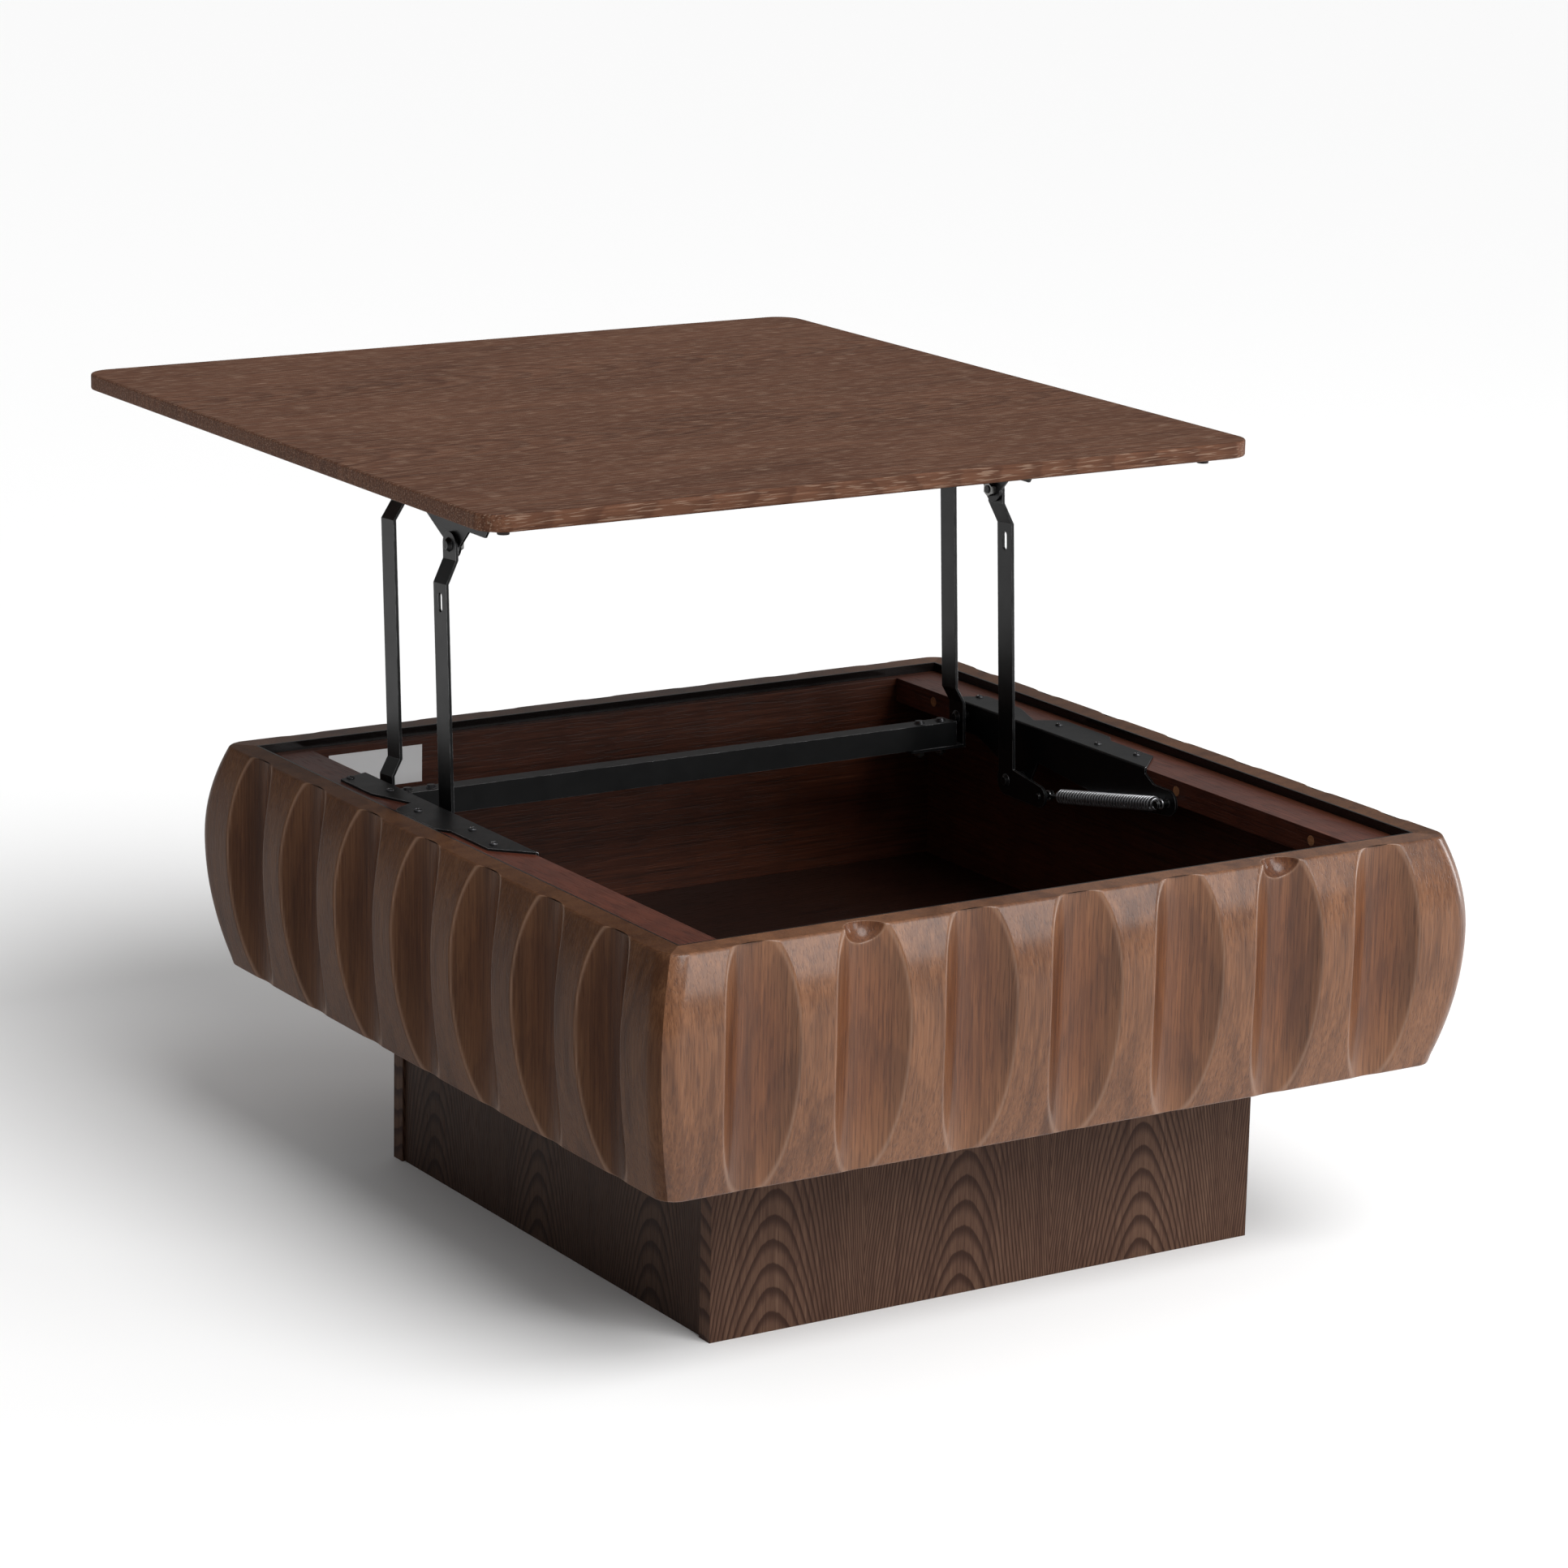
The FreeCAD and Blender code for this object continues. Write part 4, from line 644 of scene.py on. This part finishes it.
# %% Wall mesh
def wall(name, along_axis, out_axis, scooped, material):
    """Carries the section along the wall; its ends turn half way round the corner to the mitre."""
    outline, carved_part = wall_section()
    base, z = outline[:, 0], outline[:, 1]
    radius = np.maximum(CORNER * np.clip((base - INNER) / (RIM - INNER), 0, 1), LEAST_CORNER)
    straight = np.linspace(-STRAIGHT, STRAIGHT, STRAIGHT_POINTS)
    ease = np.linspace(0, 1, 10)[1:]
    turn = np.linspace(0, math.pi / 4, 9)[1:]
    reach = base - radius
    u_mid = np.broadcast_to(straight[:, None], (len(straight), len(base)))
    u_end = STRAIGHT + ease[:, None] * (reach - STRAIGHT)
    u_arc = reach + radius * np.sin(turn)[:, None]
    d_arc = reach + radius * np.cos(turn)[:, None]
    flat = np.broadcast_to(base, (len(ease), len(base)))
    u = np.concatenate([-u_arc[::-1], -u_end[::-1], u_mid, u_end, u_arc])
    d = np.concatenate([d_arc[::-1], flat, np.broadcast_to(base, u_mid.shape), flat, d_arc])
    z = np.broadcast_to(z, u.shape)
    gouge = flutes(u)
    cut_face = np.where(carved_part, soft_least(d, gouge, ARRIS_SOFTNESS), d)
    # How far each point is carved in, which the finish paints as pooled stain and painted shade.
    hollow_stain_and_shade = np.clip((d - cut_face) / FLUTE_DEPTH, 0, 1)
    # Painted highlight along the arrises of the flutes.
    arris_painted_highlight = np.where(carved_part, np.maximum(1 - np.abs(d - gouge) / ARRIS_HIGHLIGHT_WIDTH, 0), 0)
    points = np.stack([u, cut_face, z], -1)
    if scooped:
        for side in (-1, 1):
            middle_of = np.array([side * SCOOP_PLACE, RIM + SCOOP_OFFSET, RIM_Z + SCOOP_OFFSET])
            away = points - middle_of
            reach_of = np.linalg.norm(away, axis=-1)
            floor_of = np.full_like(reach_of, -SCOOP_RADIUS)
            pushed = -soft_least(-reach_of, floor_of, SCOOP_SOFTNESS)
            near = ((points[..., 1] > INNER + SCOOP_CLEARANCE)
                    & (reach_of < SCOOP_RADIUS + SCOOP_SOFTNESS))
            moved = middle_of + away * (pushed / reach_of)[..., None]
            points = np.where(near[..., None], moved, points)
            # The inside of a finger scoop gets the same pooled stain and painted shade.
            sunk_stain_and_shade = 0.8 * np.clip((pushed - reach_of) / SCOOP_FADE, 0, 1)
            hollow_stain_and_shade = np.maximum(hollow_stain_and_shade, np.where(near, sunk_stain_and_shade, 0))
            # Painted highlight round the rim of the finger scoop.
            scoop_rim_painted_highlight = np.maximum(1 - np.abs(reach_of - SCOOP_RADIUS) / SCOOP_SOFTNESS, 0)
            arris_painted_highlight = np.maximum(arris_painted_highlight, scoop_rim_painted_highlight)
    place = np.zeros((*u.shape, 3))
    place[..., :2] = points[..., :1] * np.array(along_axis) + points[..., 1:2] * np.array(out_axis)
    place[..., 1] += centre_y
    place[..., 2] = points[..., 2]
    rows, columns = u.shape
    caps = (range(columns), tuple(reversed(range((rows - 1) * columns, rows * columns))))
    piece = make_mesh(name, place.reshape(-1, 3), quads(rows, columns, close_columns=True),
                      material, caps=caps,
                      values={"hollow_stain_and_shade": hollow_stain_and_shade.ravel(), "arris_painted_highlight": arris_painted_highlight.ravel()})
    if facing_out(piece) < 0:
        piece.data.flip_normals()
    piece.data.set_sharp_from_angle(angle=math.radians(50))
    return piece


SIDES = {"front": ((1, 0), (0, -1), True), "right": ((0, 1), (1, 0), False),
         "back": ((-1, 0), (0, 1), False), "left": ((0, -1), (-1, 0), False)}
for side_name, (along_axis, out_axis, scooped) in SIDES.items():
    piece = wall("carved_wall_" + side_name, along_axis, out_axis, scooped, carved_wood[side_name])
    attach(piece, "carcass")
    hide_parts("carved_%s_panel" % side_name)
    print(piece.name, len(piece.data.polygons), "faces, volume", round(facing_out(piece), 6), "m3")

# %% [markdown]
# ## The top board
# A flat board with generous round corners and hardly broken edges. It could be a rounded box with
# a Bevel modifier, but an edge outline carried round the rounded rectangle gives even quads and
# exact radii, and the two flat faces close it.

# %% Top board
def rounded_path(half_x, half_y, corner, per_corner=24):
    """Points round a rectangle with round corners, and each point's outward direction."""
    turn = np.linspace(0, math.pi / 2, per_corner)
    angle = (np.arange(4)[:, None] * math.pi / 2 + turn).ravel()
    outward = np.stack([np.cos(angle), np.sin(angle)], -1)
    centres = np.array([(1, 1), (-1, 1), (-1, -1), (1, -1)]) * (half_x - corner, half_y - corner)
    return np.repeat(centres, per_corner, axis=0) + corner * outward, outward


def board(name, low_corner, high_corner, corner, ease, material):
    """Rounded board between two corners: its edge outline is two quarter circles and a flat."""
    middle_of = (np.array(low_corner) + np.array(high_corner)) / 2
    half_size = (np.array(high_corner) - np.array(low_corner)) / 2
    path, outward = rounded_path(half_size[0], half_size[1], corner)
    turn = np.linspace(0, math.pi / 2, 6)
    inset = np.concatenate([ease * (1 - np.sin(turn)), ease * (1 - np.cos(turn))])
    level = np.concatenate([-half_size[2] + ease * (1 - np.cos(turn)),
                            half_size[2] - ease * (1 - np.sin(turn))])
    plan = path[:, None, :] - outward[:, None, :] * inset[None, :, None]
    levels = np.broadcast_to(level, plan.shape[:2])[..., None]
    points = np.concatenate([plan, levels], -1) + middle_of
    rows, columns = plan.shape[:2]
    caps = (tuple(reversed(range(0, rows * columns, columns))),
            tuple(range(columns - 1, rows * columns, columns)))
    piece = make_mesh(name, points.reshape(-1, 3), quads(rows, columns, close_rows=True),
                      material, caps=caps)
    if facing_out(piece) < 0:
        piece.data.flip_normals()
    piece.data.set_sharp_from_angle(angle=math.radians(50))
    return piece


low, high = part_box("top_panel")
top = board("top_board", low, high, corner=0.028, ease=0.002, material=top_veneer)
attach(top, "top")
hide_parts("top_panel")
print("top", [round(v, 4) for v in top.dimensions])

# %% [markdown]
# ## The springs
# Each spring is one wire: an end loop on the fixed pin, a coil, and a straight shank with a loop
# on the moving pin. A point of the coil is the middle line plus a circle whose angle grows along
# it. The coil opens as the top comes down.

# %% Spring mesh
WIRE_SIDES = 10


def tube(path, outward, radius):
    """Ring of points round each point of a path: a circle in the plane of outward and its cross."""
    ahead = np.gradient(path, axis=0)
    ahead /= np.linalg.norm(ahead, axis=1)[:, None]
    across = outward - (outward * ahead).sum(1)[:, None] * ahead
    across /= np.linalg.norm(across, axis=1)[:, None]
    other = np.cross(ahead, across)
    angle = np.arange(WIRE_SIDES) * 2 * math.pi / WIRE_SIDES
    rings = across[:, None] * np.cos(angle)[:, None] + other[:, None] * np.sin(angle)[:, None]
    return (path[:, None] + radius * rings).reshape(-1, 3)


def spring(name, start, end, material):
    """Loop, coil, shank and loop between two points, as four tubes in one mesh."""
    coil_radius, wire, turns, loop_radius, shank = 0.00665, 0.0011, 36, 0.0044, 0.0194
    start, end = np.array(start), np.array(end)
    length = float(np.linalg.norm(end - start))
    axis = (end - start) / length
    side = np.array([1.0, 0, 0])
    rise = np.cross(axis, side)
    t = np.linspace(0, 1, turns * 18)
    taper = np.clip(np.minimum(t, 1 - t) * turns / 1.2, 0, 1)
    reach = coil_radius * (0.25 + 0.75 * np.sqrt(taper))
    place = loop_radius + t * (length - shank - loop_radius)
    angle = 2 * math.pi * turns * t
    spoke = rise * np.cos(angle)[:, None] + side * np.sin(angle)[:, None]
    coil = start + axis * place[:, None] + spoke * reach[:, None]
    ring = np.linspace(0.15, 1.95, 40)[:, None] * math.pi
    spoke_a = axis * np.cos(ring) + rise * np.sin(ring)
    spoke_b = -axis * np.cos(ring) + rise * np.sin(ring)
    run = np.linspace(length - shank - 0.002, length - loop_radius, 6)[:, None]
    bar = start + axis * run
    parts = [(coil, spoke), (start + spoke_a * loop_radius, spoke_a),
             (end + spoke_b * loop_radius, spoke_b), (bar, np.broadcast_to(rise, bar.shape))]
    points, faces, caps, first = [], [], [], 0
    for path, outward in parts:
        ring_points = tube(path, outward, wire)
        points.append(ring_points)
        faces.append(quads(len(path), WIRE_SIDES, close_columns=True, first=first))
        last = first + len(ring_points)
        caps += [tuple(reversed(range(first, first + WIRE_SIDES))),
                 tuple(range(last - WIRE_SIDES, last))]
        first = last
    piece = make_mesh(name, np.concatenate(points), np.concatenate(faces), material, caps=caps)
    if facing_out(piece) < 0:
        piece.data.flip_normals()
    return piece


def centre_of(node):
    """Middle of a CAD node's box."""
    a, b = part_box(node)
    return np.array((a + b) / 2)


for side_name in ("left", "right"):
    line_x = centre_of("spring_" + side_name)[0]
    start, end = centre_of("anchor_pin_" + side_name), centre_of("lever_pin_" + side_name)
    start[0] = end[0] = line_x
    piece = spring("spring_wire_" + side_name, start, end, spring_wire)
    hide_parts("spring_" + side_name, "spring_hook_" + side_name)
    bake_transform(piece)
    print(piece.name, "length", round(float(np.linalg.norm(end - start)), 4),
          len(piece.data.polygons), "faces")

# %% [markdown]
# ## Screw heads
# The screws that show are pan heads with a cross recess. A head is a disc of points, high in the
# middle like a shallow dome, and pushed down inside the cross.

# %% Screws
def head_grid(radius, height, rings=14, spokes=32):
    """Dome with a cross recess: height falls with the fourth power of the share of the radius."""
    share = np.linspace(0, 1, rings)[:, None]
    angle = np.arange(spokes)[None, :] * 2 * math.pi / spokes
    x, y = radius * share * np.cos(angle), radius * share * np.sin(angle)
    dome = height * (1 - 0.75 * share ** 4) + 0 * angle
    narrow = np.minimum(np.abs(x), np.abs(y))
    far = np.maximum(np.abs(x), np.abs(y))
    slot_width = np.clip((radius * 0.17 - narrow) / (radius * 0.06), 0, 1)
    slot_length = np.clip((radius * 0.62 - far) / (radius * 0.1), 0, 1)
    recess = slot_width * slot_length
    top_side = np.stack([x, y, dome - recess * height * 0.55], -1)
    skirt = np.stack([x[-1:], y[-1:], 0 * x[-1:]], -1)
    return np.concatenate([top_side, skirt])


def cluster(points, column, gap=0.008):
    """Middles of the groups of points that lie further than gap apart along one column."""
    points = points[np.argsort(points[:, column])]
    breaks = np.nonzero(np.diff(points[:, column]) > gap)[0] + 1
    return [(part.max(0) + part.min(0)) / 2 for part in np.split(points, breaks)]


def screws(name, nodes, sign, radius, height, body, material):
    """One mesh of all the heads of some CAD nodes, each found at the CAD screw's own place."""
    grid = head_grid(radius, height)
    rows, columns = grid.shape[:2]
    points, faces, caps = [], [], []
    for node in nodes:
        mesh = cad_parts[node].data
        places = np.zeros(len(mesh.vertices) * 3)
        mesh.vertices.foreach_get("co", places)
        places = places.reshape(-1, 3)
        level = places[:, 2].max() if sign > 0 else places[:, 2].min()
        for half in (places[places[:, 0] < 0], places[places[:, 0] >= 0]):
            if not len(half):
                continue
            heads = half[np.abs(half[:, 2] - level) < 0.0001]
            for spot in cluster(heads, 1):
                first = len(points) * rows * columns
                head = grid * (1, sign, sign) + (spot[0], spot[1], level - sign * height)
                points.append(head.reshape(-1, 3))
                faces.append(quads(rows, columns, close_columns=True, first=first))
                caps.append(tuple(range(first + (rows - 1) * columns, first + rows * columns)))
    piece = make_mesh(name, np.concatenate(points), np.concatenate(faces), material, caps=caps)
    if facing_out(piece) < 0:
        piece.data.flip_normals()
    piece.data.set_sharp_from_angle(angle=math.radians(40))
    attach(piece, body)
    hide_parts(*nodes)
    print(name, len(points), "heads")
    return piece


HEAD_RADIUS, HEAD_HEIGHT = 0.004, 0.0022
screws("bracket_screw_heads", ["bracket_screws_left", "bracket_screws_right"], 1,
       HEAD_RADIUS, HEAD_HEIGHT, "carcass", dark_screw)
screws("top_screw_heads", ["top_rail_screws"], -1,
       HEAD_RADIUS, HEAD_HEIGHT, "top", dark_screw)

# %% [markdown]
# ## Dressing the CAD pieces
# Every other piece keeps its CAD mesh, which is already exact, and only gets its finish. The
# plinth boards each get their own crown places, so that no two boards match by accident, and the
# boards turned from the light a darker stain, which is painted shade.

# %% Finishes of the CAD nodes
def dress(material, *names):
    """Puts one finish on some CAD nodes."""
    for name in names:
        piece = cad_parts[name]
        piece.data.materials.clear()
        piece.data.materials.append(material)


# The boards turned from the light get a lower factor, which darkens their stain as painted shade.
for side_name, axis, crown, painted_shade_dim in (("front", "zx", -0.235, 1.0), ("back", "zx", 0.05, 0.95),
                                     ("left", "z", 0.07, 0.76), ("right", "z", -0.04, 0.85)):
    dress(plinth_veneer("plinth_veneer_" + side_name, axis, crown, painted_shade_dim),
          "base_%s_panel" % side_name)
dress(bare_wood, "base_corner_blocks", "base_cleats")
dress(box_floor, "box_floor_panel")
dress(inside_walls, "liner_front", "liner_back")
dress(inside_sides, "liner_left", "liner_right")
dress(edging, "recess_strips")
dress(label_paper, "blank_label")
dress(plated, "base_cleat_screws", "cross_tube_nuts", "top_nuts_left", "top_nuts_right")
dress(dark_screw, "cross_tube_bolts")
dress(rubber, "top_bumpers")
for side_name in ("left", "right"):
    dress(rail_wood, "rail_" + side_name)
    dress(plug_wood, "rail_plugs_" + side_name)
    dress(powder_coat, *[part + side_name for part in (
        "bracket_", "pivot_studs_", "anchor_pin_", "rear_arm_", "front_arm_", "top_rail_",
        "top_bolts_", "lever_pin_")])
dress(powder_coat, "cross_tube")
print("dressed", len(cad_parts), "CAD nodes")

# %% [markdown]
# ## The floor
# A plain pale floor catches a soft shadow under the plinth. It isn't part of the object.

# %% Floor
paper, _, floor_shader = finish("studio_floor")
floor_shader.inputs["Base Color"].default_value = (0.9, 0.9, 0.9, 1)
floor_shader.inputs["Roughness"].default_value = 0.9
corners = np.array([(-60, -60, 0), (60, -60, 0), (60, 60, 0), (-60, 60, 0)], float)
floor = make_mesh("studio_floor", corners, np.array([[0, 1, 2, 3]]), paper)
